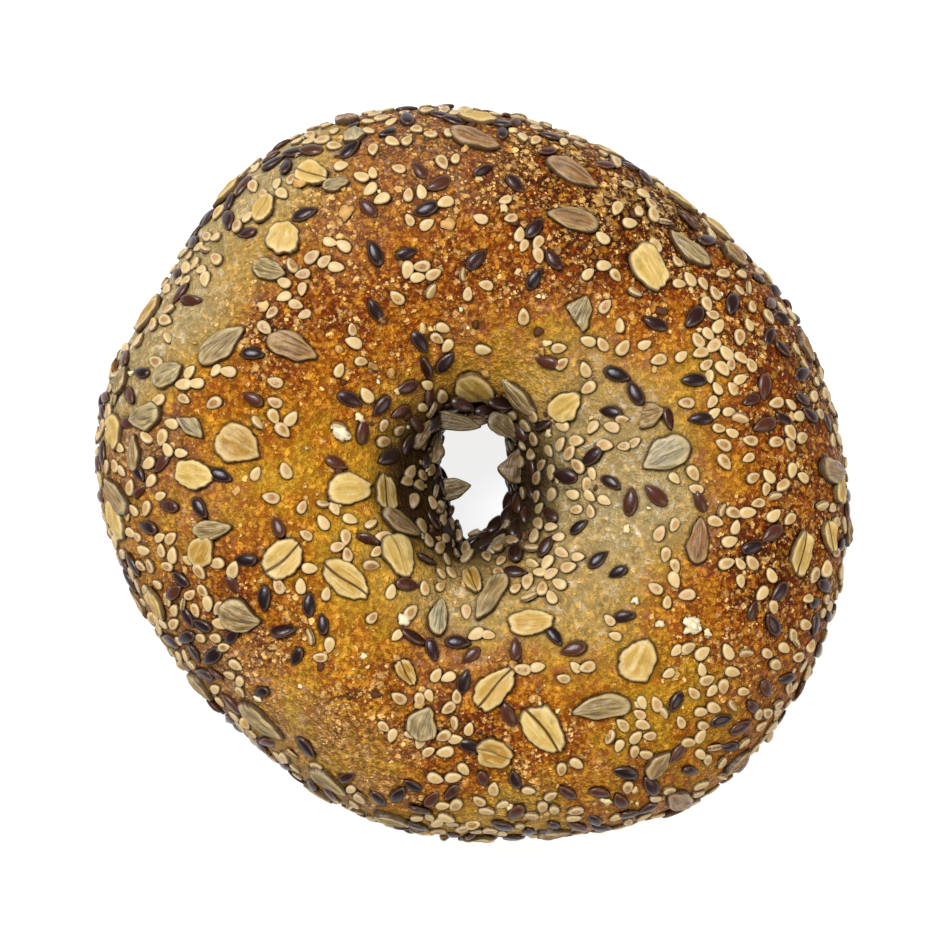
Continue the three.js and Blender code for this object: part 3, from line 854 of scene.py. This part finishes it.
def makeKernel(length, width, tone, number):
    kernel = bmesh.new()
    bmesh.ops.create_uvsphere(kernel, u_segments=sunflower["around"], v_segments=sunflower["rings"],
                              radius=1)
    ownLayer = kernel.verts.layers.float_vector.new("own")
    toneLayer = kernel.verts.layers.float.new("tone")
    own = Vector((number * 2.1, number * 4.3, 0))  # its own place in the noise
    breakAt, slant = sunflower["break"]
    taper, taperCurve = sunflower["taper"]
    unevenness, unevenCount = sunflower["uneven"]
    dentDepth, dentCount = sunflower["dents"]
    swelling, swellingAt, swellingWidth = sunflower["swelling"]
    ribHeight, ribCount, wander = sunflower["ribs"]
    along, across = sunflower["sway"]
    thinnest, thicker = sunflower["thinTip"]
    for v in kernel.verts:
        x, y, z = v.co
        v[ownLayer] = (x, y, number)
        v[toneLayer] = tone
        if number in sunflower["broken"]:
            x = max(x, breakAt + slant * y)
        narrowed = 1 - taper * ((x + 1) / 2) ** taperCurve
        uneven = 1 + unevenness * noise.noise(Vector((x, y, 0)) * unevenCount + own)
        dent = (dentDepth * noise.noise(Vector((x, y, z)) * dentCount + own)
                + swelling * bump(y - swellingAt, swellingWidth))
        sway = wander * noise.noise(Vector((x * along, y * across, number)))
        rib = ribHeight * math.cos(ribCount * (y + sway))
        dent += rib * (1 - min(1.0, math.hypot(x, y)) ** 3) * (1 if z > 0 else 0)
        bend = sunflower["bend"] * (1 - x * x) * noise.noise(own + Vector((0.4, 0.3, 0.7)))
        thickness = (signedPower(z, sunflower["flatness"]) + dent) * (thinnest + thicker * narrowed)
        v.co = (x * length / 2, (y * narrowed * uneven + bend) * width * sunflower["halfWidth"],
                thickness * sunflower["thick"] / 2)
    return kernel


# A flake lies on the crust: each point follows the dough under it and keeps its own height.
def drape(mesh, seat, share):
    above, sightLine, deepest = 5.0, 12.0, -2.5
    for v in mesh.vertices:
        over = (v.co - seat["point"]).dot(seat["normal"])
        flat = v.co - seat["normal"] * over
        hit = smoothTree.ray_cast(flat + seat["normal"] * above, -seat["normal"], sightLine)[0]
        if hit is not None:
            drop = (hit - flat).dot(seat["normal"])
            v.co += seat["normal"] * max(deepest, drop) * share


# Adds a shape to a joined piece, set in its place and draped over its seat where that is given.
def addShape(joined, shape, place, seat=None):
    mesh = bpy.data.meshes.new("topping")
    shape.to_mesh(mesh)
    shape.free()
    mesh.transform(place)
    if seat:
        drape(mesh, seat, oat["draped"])
    joined.from_mesh(mesh)
    bpy.data.meshes.remove(mesh)


def joinLarge(rows):
    oats, kernels = bmesh.new(), bmesh.new()
    for number, (kind, seat, turn, length, width, look) in enumerate(rows):
        place = placing(seat, turn, (kind["proud"] - 0.5) * kind["thick"])
        if kind is oat:
            addShape(oats, makeOat(length, width, look, number), place, seat)
        else:
            addShape(kernels, makeKernel(length, width, look, number), place)
    for number, (x, y, z, heading, slope, length, width, look) in enumerate(wedgedKernels):
        shape = makeKernel(length, width, look, sunflower["wedgedFrom"] + number)
        addShape(kernels, shape, wedging(x, y, z, heading, slope))
    for shape in (oats, kernels):
        bmesh.ops.recalc_face_normals(shape, faces=shape.faces)
    return oats, kernels


# Rolled oats: dry flattened grain, straw yellow, floury and nearly white along the torn edge.
oatLook = {
    "tones": [(0.2, "#b8964a"), (1.5, "#9a7124"), (0.9, "#aa8536")],
    "floury": "#dac388",
    "furrow": "#4a2c0c",
    "furrowBends": (2.2, 0.1),
    "clouds": 1.5,
    "fibres": (0.9, 3.6, 3.7),
    "bump": (0.8, 0.25),
    "roughness": 0.45,
    "specular": 0.3,
}


def oatMaterial():
    made, place, tone = startTopping("rolledOat")
    tree = made[1]
    own, rim = ownShape(tree)
    furrow = addNode(tree, layerNode, {"attribute_name": "furrow"}, out="Fac")
    cloud = addNode(tree, noiseNode, {"Scale": 1 / (oatLook["clouds"] * metres), "Detail": 4.0,
                    "Roughness": 0.65}, {"Vector": place})
    stretched = addNode(tree, vectorNode, {"operation": "MULTIPLY", 1: oatLook["fibres"]}, {0: own})
    fibres = addNode(tree, noiseNode, {"Scale": 1.0, "Detail": 3.0, "Distortion": 0.4},
                     {"Vector": stretched})
    mixed = addNode(tree, mathNode, timesPlus, {0: cloud, 1: 0.9, 2: tone})
    colour = addNode(tree, rampNode, {"stops": oatLook["tones"]}, {0: mixed})
    bright = addNode(tree, rangeNode, {**smooth, "From Min": 0.48, "From Max": 0.7, "To Max": 0.45},
                     {"Value": fibres})
    flour = addNode(tree, rangeNode, {"From Min": 0.6, "From Max": 0.85, "To Max": 0.5}, {"Value": rim})
    pale = addNode(tree, mathNode, larger, {0: bright, 1: flour})
    colour = addNode(tree, mixNode, {**colours, 7: toLinear(oatLook["floury"])}, {0: pale, 6: colour},
                     out=2)
    shade = addNode(tree, rangeNode, {"From Min": 0.3, "From Max": 0.5, "To Min": 0.7}, {"Value": cloud})
    colour = addNode(tree, vectorNode, scaled, {0: colour, "Scale": shade})

    # The furrow is a thin dark line that wanders along the middle of the flake.
    split = addNode(tree, "ShaderNodeSeparateXYZ", links={0: own}, out=None)
    often, wander = oatLook["furrowBends"]
    bend = addNode(tree, mathNode, timesPlus, {0: split.outputs[0], 1: often, 2: split.outputs[2]})
    bend = addNode(tree, mathNode, {"operation": "SINE"}, {0: bend})
    bend = addNode(tree, mathNode, timesPlus, {0: bend, 1: wander, 2: split.outputs[1]})
    off = addNode(tree, mathNode, unsigned, {0: bend})
    cut = addNode(tree, rangeNode, {**smooth, "From Min": 0.11, "From Max": 0.02}, {"Value": off})
    cut = addNode(tree, mathNode, times, {0: cut, 1: furrow})
    # Painted shade: a dark line round the flake's edge where it meets the crust, in the furrow's colour.
    shadedEdge = addNode(tree, rangeNode, {**smooth, "From Min": 0.86, "From Max": 0.98, "To Max": 0.9},
                   {"Value": rim})
    dark = addNode(tree, mathNode, larger, {0: shadedEdge, 1: cut})
    colour = addNode(tree, mixNode, {**colours, 7: toLinear(oatLook["furrow"])}, {0: dark, 6: colour},
                     out=2)
    height = addNode(tree, mathNode, plus, {0: cloud, 1: fibres})
    height = addNode(tree, mathNode, minus, {0: height, 1: cut})
    return endTopping(made, place, colour, height, oatLook)


# Hulled sunflower kernels: dry satin, from grey-beige to brown, with fine ribs along them and a dark outline
# of painted shade.
kernelLook = {
    "tones": [(0.0, "#8d805d"), (1.0, "#80501f"), (0.3, "#846b3c"), (0.55, "#835b2d")],
    "pale": "#c6ad78",
    "shadedEdge": (0.88, 0.98, 0.9, "#38200c"),
    "clouds": 1.4,
    "ribs": (0.9, 4.6, 3.7),
    "bump": (0.9, 0.3),
    "roughness": 0.4,
    "specular": 0.4,
}


def sunflowerMaterial():
    made, place, tone = startTopping("hulledSunflower")
    tree = made[1]
    own, rim = ownShape(tree)
    stretched = addNode(tree, vectorNode, {"operation": "MULTIPLY", 1: kernelLook["ribs"]}, {0: own})
    ribs = addNode(tree, noiseNode, {"Scale": 1.2, "Detail": 4.0, "Distortion": 0.4}, {"Vector": stretched})
    cloud = addNode(tree, noiseNode, {"Scale": 1 / (kernelLook["clouds"] * metres), "Detail": 4.0},
                    {"Vector": place})
    colour = addNode(tree, rampNode, {"stops": kernelLook["tones"]}, {0: tone})
    bright = addNode(tree, rangeNode, {**smooth, "From Min": 0.5, "From Max": 0.68, "To Max": 0.5},
                     {"Value": ribs})
    husk = addNode(tree, rangeNode, {**smooth, "From Min": 0.62, "From Max": 0.84, "To Max": 0.6},
                   {"Value": rim})
    pale = addNode(tree, mathNode, larger, {0: bright, 1: husk})
    ripe = addNode(tree, rangeNode, {"From Min": 0.1, "From Max": 1.0, "To Min": 1.0, "To Max": 0.25},
                   {"Value": tone})
    pale = addNode(tree, mathNode, times, {0: pale, 1: ripe})
    colour = addNode(tree, mixNode, {**colours, 7: toLinear(kernelLook["pale"])}, {0: pale, 6: colour},
                     out=2)
    shade = addNode(tree, rangeNode, {"From Min": 0.3, "From Max": 0.5, "To Min": 0.72}, {"Value": cloud})
    colour = addNode(tree, vectorNode, scaled, {0: colour, "Scale": shade})
    streak = addNode(tree, rangeNode, {**smooth, "From Min": 0.36, "From Max": 0.47, "To Min": 0.5},
                     {"Value": ribs})
    colour = addNode(tree, vectorNode, scaled, {0: colour, "Scale": streak})
    # Painted shade: a dark outline round the kernel where it meets the crust.
    colour = tint(tree, colour, rim, *kernelLook["shadedEdge"])
    both = addNode(tree, mathNode, plus, {0: cloud, 1: ribs})
    return endTopping(made, place, colour, both, kernelLook)


print("oats and kernels: laying them on the crust")
largeRows = []


def addRows(kind, rows):
    for x, y, heading, length, width, look in rows:
        seat = seatSeenAt(x, y)
        largeRows.append((kind, seat, turnTo(seat, heading), length, width, look))


addRows(oat, oatFlakes)
addRows(sunflower, sunflowerKernels)
taken = [(row[1]["point"], row[3]) for row in largeRows]
largeRows += drawLarge(taken)
addRows(oat, moreOats)
addRows(sunflower, moreKernels)
taken = [(row[1]["point"], row[3]) for row in largeRows]
oatShape, kernelShape = joinLarge(largeRows)
finishPiece("rolledOats", oatShape, oatMaterial())
finishPiece("sunflowerKernels", kernelShape, sunflowerMaterial())

# Flax seeds that show on the top, in mm as seen, and patches of sesame: x, y, reach, count.
flaxSeen = [
    (-39, 40), (-36, 38), (-26, 51), (-24, 51), (-27, 41), (-17, 42), (-16, 35), (-35, 19), (-16, 26),
    (-11, 56), (-14, 54), (-3, 55), (4, 54), (0, 50), (-9, 48), (-7, 48), (-6, 46), (-4, 47), (1, 48),
    (6, 46), (11, 51), (15, 50), (20, 49), (24, 49), (-8, 42), (9, 39), (-11, 35), (0, 34), (12, 34),
    (9, 31), (11, 29), (13, 27), (-9, 21), (-5, 18), (-3, 19), (-8, 17), (11, 18), (28, 24), (22, 16),
    (29, 23), (34, 25), (40, 27), (41, 25), (46, 27), (47, 26), (46, 22), (48, 20), (34, 15), (25, 13),
    (21, 10), (35, 9), (30, 9), (29, 7), (45, 14), (47, 14), (43, 12), (51, 12), (48, 9), (45, 8),
    (51, 16), (33, 40), (35, 38), (36, 37), (-11, 14), (-4, 11), (-6, 10), (-11, 5), (-14, 3), (-13, 1),
    (14, 14), (18, 3), (14, 0), (21, -1), (24, -4), (28, -3), (16, -8), (19, -13), (22, -15), (11, -11),
    (8, -10), (6, -12), (6, -15), (6, -17), (-8, -13), (-11, -17), (-7, -7), (6, -21), (23, -22),
    (-8, -2), (-3, -12), (-10, -25), (-35, 12), (-20, 12), (-15, 11), (-43, 10), (-49, 2), (-40, 0),
    (-43, -5), (-31, -8), (-40, -11), (-36, -13), (-38, -17), (-33, -19), (-26, -20), (-24, -23),
    (-30, -24), (-28, -28), (-22, 2), (-18, 7), (-17, 8), (-14, 2), (-17, -10), (-51, -8), (-47, -18),
    (-46, -16), (-45, -22), (-45, -25), (-38, -25), (-41, -28), (-7, -27), (-3, -26), (-5, -29), (-1, -28),
    (6, -27), (12, -25), (15, -27), (-2, -32), (5, -37), (-1, -42), (1, -47), (6, -47), (-10, -48),
    (-7, -50), (-4, -49), (6, -52), (14, -49), (19, -49), (23, -46), (4, -54), (8, -55), (6, -55),
    (12, -54), (15, -55), (27, -48), (35, -4), (43, -11), (46, -9), (47, -18), (43, -21), (31, -35),
    (38, -38), (41, -39), (45, -33), (53, -27), (46, -23), (54, -17), (-9.5, 8), (-12, 10), (-7.5, 12.5),
    (-12, 16), (-2, 15), (4, 12),
]
sesamePatches = [
    (-21, 45, 4, 2), (-23, 35, 3, 5), (-31, 31, 5, 6), (-30, 25, 4, 3), (-22, 21, 5, 4), (-41, 15, 4, 4),
    (-12, 45, 5, 6), (-6, 52, 5, 4), (-8, 41, 4, 3), (-10, 31, 4, 6), (-2, 28, 4, 3), (4, 44, 5, 3),
    (7, 36, 3, 4), (13, 52, 5, 3), (23, 41, 5, 5), (19, 33, 4, 3), (22, 28, 4, 2), (29, 41, 5, 6),
    (-7, 21, 3, 3), (2, 20, 3, 1), (9, 25, 3, 1), (17, 18, 5, 6), (24, 20, 4, 3), (34, 31, 5, 6),
    (40, 27, 5, 7), (37, 22, 4, 4), (43, 21, 5, 6), (38, 17, 4, 7), (31, 17, 3, 2), (36, 12, 4, 4),
    (22, 8, 4, 6), (40, 6, 4, 7), (47, 8, 5, 7), (-9, 12, 4, 7), (-12, 7, 4, 4), (-18, 9, 4, 3),
    (5, 9, 4, 4), (9, 5, 4, 7), (15, 2, 4, 8), (18, -2, 4, 5), (8, -8, 4, 8), (12, -12, 4, 7),
    (9, -17, 4, 7), (3, -13, 3, 3), (-6, -8, 3, 5), (-7, -14, 4, 5), (-12, -2, 3, 3), (-14, -9, 4, 4),
    (-33, 12, 4, 3), (-31, 8, 4, 3), (-46, 13, 4, 4), (-48, 5, 5, 5), (-33, 0, 4, 3), (-24, -7, 4, 3),
    (-21, -8, 4, 4), (-18, -12, 4, 3), (-27, -17, 4, 4), (-47, -12, 5, 7), (-42, -17, 5, 7),
    (-41, -23, 5, 6), (-14, -22, 4, 4), (-1, -23, 4, 4), (-26, -27, 4, 3), (-6, -34, 4, 5), (-11, -38, 4, 6),
    (-5, -40, 4, 6), (-3, -45, 4, 3), (8, -31, 3, 2), (15, -31, 4, 3), (21, -24, 3, 2), (12, -46, 5, 4),
    (23, -41, 4, 6), (28, -38, 4, 7), (33, -29, 4, 4), (31, -20, 4, 4), (31, -11, 4, 4), (37, -8, 4, 5),
    (33, -2, 4, 3), (42, -5, 5, 6), (48, -3, 5, 5), (42, -15, 4, 6), (46, -25, 5, 7), (39, -31, 5, 6),
    (36, -38, 5, 8), (43, -36, 4, 4), (2, -50, 5, 5), (-5, -52, 5, 5), (10, -52, 4, 3),
]
# The rest of the seeds by chance. sides, hole and base are how many lie on a square millimetre there.
seedRule = {
    "seed": 7741,
    "tries": 24000,
    "mostPerMm2": 0.3,
    "sides": 0.19,
    "hole": 0.3,
    "base": 0.035,
    "baseBelow": 2.0,
    "flaxShare": 0.35,
    "flaxInHole": 0.62,
    "spacing": 0.34,
    "seenHeights": (17, 24),
    "holeEdge": (12, 16),
    "holeRadius": 13,
    "rimFrom": 50,
    "rimWidth": 4,
    "outerRadius": 58,
    "patchTries": 8,
    "underSide": -0.5,
    "pressedIn": 0.22,  # deeper by this underneath
    "sizes": (0.8, 0.3),
    "onEdge": 0.1,
    "edgeRoll": (0.6, 0.4),
    "roll": 0.3,
    "pitch": 0.34,
    "proudSpread": 0.16,
    "wedgedRoll": 1.2,
}
crowdedSide = {"angle": 206, "halfWidth": 42, "more": 0.13, "wider": 6}  # where seeds piled up most


def seedDensity(p):
    radius = math.hypot(p.x, p.y)
    if p.z < seedRule["baseBelow"]:
        return seedRule["base"]
    crowd = bump(degreesApart(math.atan2(p.y, p.x), crowdedSide["angle"]), crowdedSide["halfWidth"])
    rimFrom = seedRule["rimFrom"] - crowdedSide["wider"] * crowd
    seen = (ease(*seedRule["seenHeights"], p.z) * ease(*seedRule["holeEdge"], radius)
            * (1 - ease(rimFrom, rimFrom + seedRule["rimWidth"], radius)))
    rim = (seedRule["sides"] + crowdedSide["more"] * crowd) * (1 - seen)
    return seedRule["hole"] if radius < seedRule["holeRadius"] else rim


def seedClear(point, length, near):
    return all((spot - point).length > seedRule["spacing"] * (other + length) for spot, other in near)


def drawSeeds(taken):
    draw = makeDraw(seedRule["seed"])
    placed = {"flax": [], "sesame": []}
    leastSize, moreSize = seedRule["sizes"]
    leastRoll, moreRoll = seedRule["edgeRoll"]

    def add(name, seat, turn):
        kind = flax if name == "flax" else sesame
        if seat is None:
            return False
        size = leastSize + moreSize * draw()
        length = kind["length"] * size
        if not seedClear(seat["point"], length, taken):
            return False
        if draw() < seedRule["onEdge"]:
            roll = (leastRoll + moreRoll * draw()) * (1 if draw() < 0.5 else -1)
        else:
            roll = seedRule["roll"] * (draw() - 0.5)
        pitch = seedRule["pitch"] * (draw() - 0.5)
        pressed = seedRule["pressedIn"] if seat["normal"].z < seedRule["underSide"] else 0
        proud = kind["proud"] - pressed + seedRule["proudSpread"] * (draw() - 0.5)
        place = placing(seat, turn, (proud - 0.5) * kind["thick"] * size, pitch, roll)
        placed[name].append((place @ Matrix.Scale(size, 4), draw()))
        taken.append((seat["point"], length))
        return True

    for name, x, y, z, heading, slope in wedgedSeeds:
        roll = Matrix.Rotation(seedRule["wedgedRoll"] * (draw() - 0.5), 4, "X")
        place = wedging(x, y, z, heading, slope) @ roll
        placed[name].append((place, draw()))
        taken.append((place.translation, sesame["length"]))
    for x, y in flaxSeen:
        add("flax", seatSeenAt(x, y), 2 * math.pi * draw())
    for x, y, reach, count in sesamePatches:
        made = 0
        for attempt in range(count * seedRule["patchTries"]):
            angle = 2 * math.pi * draw()
            away = reach * math.sqrt(draw())
            seat = seatSeenAt(x + away * math.cos(angle), y + away * math.sin(angle))
            made += add("sesame", seat, 2 * math.pi * draw())
            if made == count:
                break
    for attempt in range(seedRule["tries"]):
        ring = 2 * math.pi * draw()
        section = 2 * math.pi * draw()
        keep = draw()
        pick = draw()
        point = crustPoint(ring, section)
        radius = math.hypot(point.x, point.y)
        share = seedDensity(point) / seedRule["mostPerMm2"]
        if keep > share * radius / seedRule["outerRadius"]:
            continue
        flaxShare = seedRule["flaxInHole" if radius < seedRule["holeRadius"] else "flaxShare"]
        add("flax" if pick < flaxShare else "sesame", seatOnRing(ring, section), 2 * math.pi * draw())
    return placed


print("seeds: scattering flax and sesame")
seeds = drawSeeds(taken)
shapeDraw = makeDraw(seedForm["seed"])
sesameShape = joinSeeds(makeSeeds(sesame, shapeDraw), seeds["sesame"])
finishPiece("sesameSeeds", sesameShape, seedMaterial("toastedSesame", sesameLook))
flaxShape = joinSeeds(makeSeeds(flax, shapeDraw), seeds["flax"])
finishPiece("flaxSeeds", flaxShape, seedMaterial("glossyFlax", flaxLook))
print(f"seeds: {len(seeds['sesame'])} sesame and {len(seeds['flax'])} flax")


# Loose bits: x, y, longest side in mm, flatness, and a tone from white crumb to brown husk.
looseBits = [
    (-21.3, 7.0, 3.0, 0.6, 0.0), (-11.4, -22.5, 2.2, 0.7, 0.0), (33.6, -23.3, 2.6, 0.6, 0.05),
    (24.7, -19.4, 1.3, 0.8, 0.0), (28.6, -23.0, 1.5, 0.6, 0.1), (-18.4, 9.2, 1.6, 0.6, 0.1),
    (-4.5, 39.5, 2.3, 0.4, 0.5), (-56.7, 17.2, 2.6, 0.5, 0.7), (-27.5, 46.0, 2.4, 0.5, 0.5),
    (-20.5, 41.5, 2.6, 0.4, 0.55), (19.0, 43.0, 2.2, 0.5, 0.55), (36.0, -24.5, 1.5, 0.6, 0.15),
    (-9.0, -35.5, 1.6, 0.6, 0.5), (30.5, 46.5, 2.0, 0.5, 0.6), (-33.5, 26.5, 2.0, 0.5, 0.4),
    (34.3, -23.9, 1.4, 0.9, 0.0), (32.8, -22.8, 1.3, 0.9, 0.02), (34.2, -22.6, 1.2, 0.9, 0.0),
    (32.8, -24.0, 1.2, 0.9, 0.04), (33.6, -23.3, 1.8, 1.2, 0.0), (-20.5, 6.3, 1.7, 0.9, 0.0),
    (-22.2, 7.7, 1.5, 0.9, 0.05),
]
bitRule = {"seed": 9029, "count": 190, "smallest": 0.7, "largest": 1.8, "subdivisions": 2,
           "sections": (0.02, 0.96), "flatness": (0.3, 0.5), "lumps": (0.9, 1.3), "width": 0.38,
           "height": 0.4, "lift": 0.12}


def makeBit(size, flatness, tone, number):
    bit = bmesh.new()
    bmesh.ops.create_icosphere(bit, subdivisions=bitRule["subdivisions"], radius=1)
    toneLayer = bit.verts.layers.float.new("tone")
    own = Vector((number * 1.9, number * 0.7, 3.3))  # its own place in the noise
    lumpHeight, lumpCount = bitRule["lumps"]
    for v in bit.verts:
        v.co *= 1 + lumpHeight * noise.noise(v.co * lumpCount + own)
        v.co = (v.co.x * size / 2, v.co.y * size * bitRule["width"],
                v.co.z * size * flatness * bitRule["height"])
        v[toneLayer] = tone
    return bit


def scatterBits():
    draw = makeDraw(bitRule["seed"])
    joined = bmesh.new()
    firstSection, sections = bitRule["sections"]
    flattest, plumper = bitRule["flatness"]
    rows = [(seatSeenAt(x, y), size, flatness, tone) for x, y, size, flatness, tone in looseBits]
    while len(rows) < len(looseBits) + bitRule["count"]:
        ring = 2 * math.pi * draw()
        section = math.pi * (firstSection + sections * draw())
        size = bitRule["smallest"] + (bitRule["largest"] - bitRule["smallest"]) * draw() ** 2
        rows.append((seatOnRing(ring, section), size, flattest + plumper * draw(), draw()))
    for number, (seat, size, flatness, tone) in enumerate(rows):
        place = placing(seat, 2 * math.pi * draw(), bitRule["lift"] * size * flatness)
        addShape(joined, makeBit(size, flatness, tone, number), place)
    bmesh.ops.recalc_face_normals(joined, faces=joined.faces)
    return joined


# Crumbs of grain and husk: matt, from floury white through tan to brown.
crumbLook = {
    "tones": [(0.15, "#d9cfb4"), (1.4, "#4f2c12"), (0.4, "#d3bd88"), (0.8, "#b98a48")],
    "clouds": 0.8,
    "bump": (0.8, 0.2),
    "roughness": 0.7,
    "specular": 0.2,
}


def crumbMaterial():
    made, place, tone = startTopping("grainCrumb")
    tree = made[1]
    cloud = addNode(tree, noiseNode, {"Scale": 1 / (crumbLook["clouds"] * metres), "Detail": 3.0},
                    {"Vector": place})
    mixed = addNode(tree, mathNode, timesPlus, {0: cloud, 1: 0.5, 2: tone})
    colour = addNode(tree, rampNode, {"stops": crumbLook["tones"]}, {0: mixed})
    return endTopping(made, place, colour, cloud, crumbLook)


print("crumbs: bits of grain and husk")
finishPiece("grainCrumbs", scatterBits(), crumbMaterial())


# A pale matt table top, lit from above and a little from within, so that it stays near white, and
# soft lights: name, place, size and power in metres and watts, and colour.
studio = {
    "table": {"colour": "#9a9a9a", "roughness": 0.8, "glow": 0.84, "halfSize": 3.0, "below": 0.1},
    "lights": [("windowLight", (-0.32, 0.36, 0.9), 0.5, 15.5, "#f2f6ff"),
               ("roomFill", (0.6, -0.5, 0.75), 0.8, 5.0, "#fff8ee")],
    "lightsAim": (0, 0, 0.02),
    "room": ("#f7f9ff", 0.3),
    "clip": (0.01, 20),
}


def addTable():
    look = studio["table"]
    material, tree, shader = startMaterial("paleTable")
    shader.inputs["Base Color"].default_value = toLinear(look["colour"])
    shader.inputs["Roughness"].default_value = look["roughness"]
    shader.inputs["Emission Color"].default_value = toLinear("#ffffff")
    shader.inputs["Emission Strength"].default_value = look["glow"]
    top = bmesh.new()
    bmesh.ops.create_grid(top, x_segments=1, y_segments=1, size=look["halfSize"])
    mesh = bpy.data.meshes.new("tableTop")
    top.to_mesh(mesh)
    top.free()
    mesh.materials.append(material)
    table = bpy.data.objects.new("tableTop", mesh)
    table.location.z = -look["below"] * metres
    bpy.context.scene.collection.objects.link(table)


def addLight(name, place, size, power, hexColour):
    lamp = bpy.data.lights.new(name, "AREA")
    lamp.shape = "DISK"
    lamp.size = size
    lamp.energy = power
    lamp.color = toLinear(hexColour)[:3]
    light = bpy.data.objects.new(name, lamp)
    light.location = place
    towards = Vector(studio["lightsAim"]) - Vector(place)
    light.rotation_euler = towards.to_track_quat("-Z", "Y").to_euler()
    bpy.context.scene.collection.objects.link(light)


def addCamera():
    lens = bpy.data.cameras.new("photoCamera")
    lens.sensor_width = eye["sensor"]
    place = (eye["place"] + ringCentre) * metres
    aim = (eye["aim"] + ringCentre) * metres
    lens.lens = eye["sensor"] * (place - aim).length / (eye["pictureWidth"] * metres)
    lens.clip_start, lens.clip_end = studio["clip"]
    camera = bpy.data.objects.new("photoCamera", lens)
    back = (place - aim).normalized()
    right = Vector((0, 1, 0)).cross(back).normalized()
    camera.matrix_world = Matrix((right, back.cross(right), back)).transposed().to_4x4()
    camera.location = place
    bpy.context.scene.collection.objects.link(camera)
    bpy.context.scene.camera = camera


def addRoom():
    hexColour, strength = studio["room"]
    room = bpy.data.worlds.new("softRoom")
    room.use_nodes = True
    background = room.node_tree.nodes["Background"]
    background.inputs["Color"].default_value = toLinear(hexColour)
    background.inputs["Strength"].default_value = strength
    bpy.context.scene.world = room
    bpy.context.scene.view_settings.view_transform = "Standard"


print("studio: table, lights and camera")
addTable()
for row in studio["lights"]:
    addLight(*row)
addCamera()
addRoom()
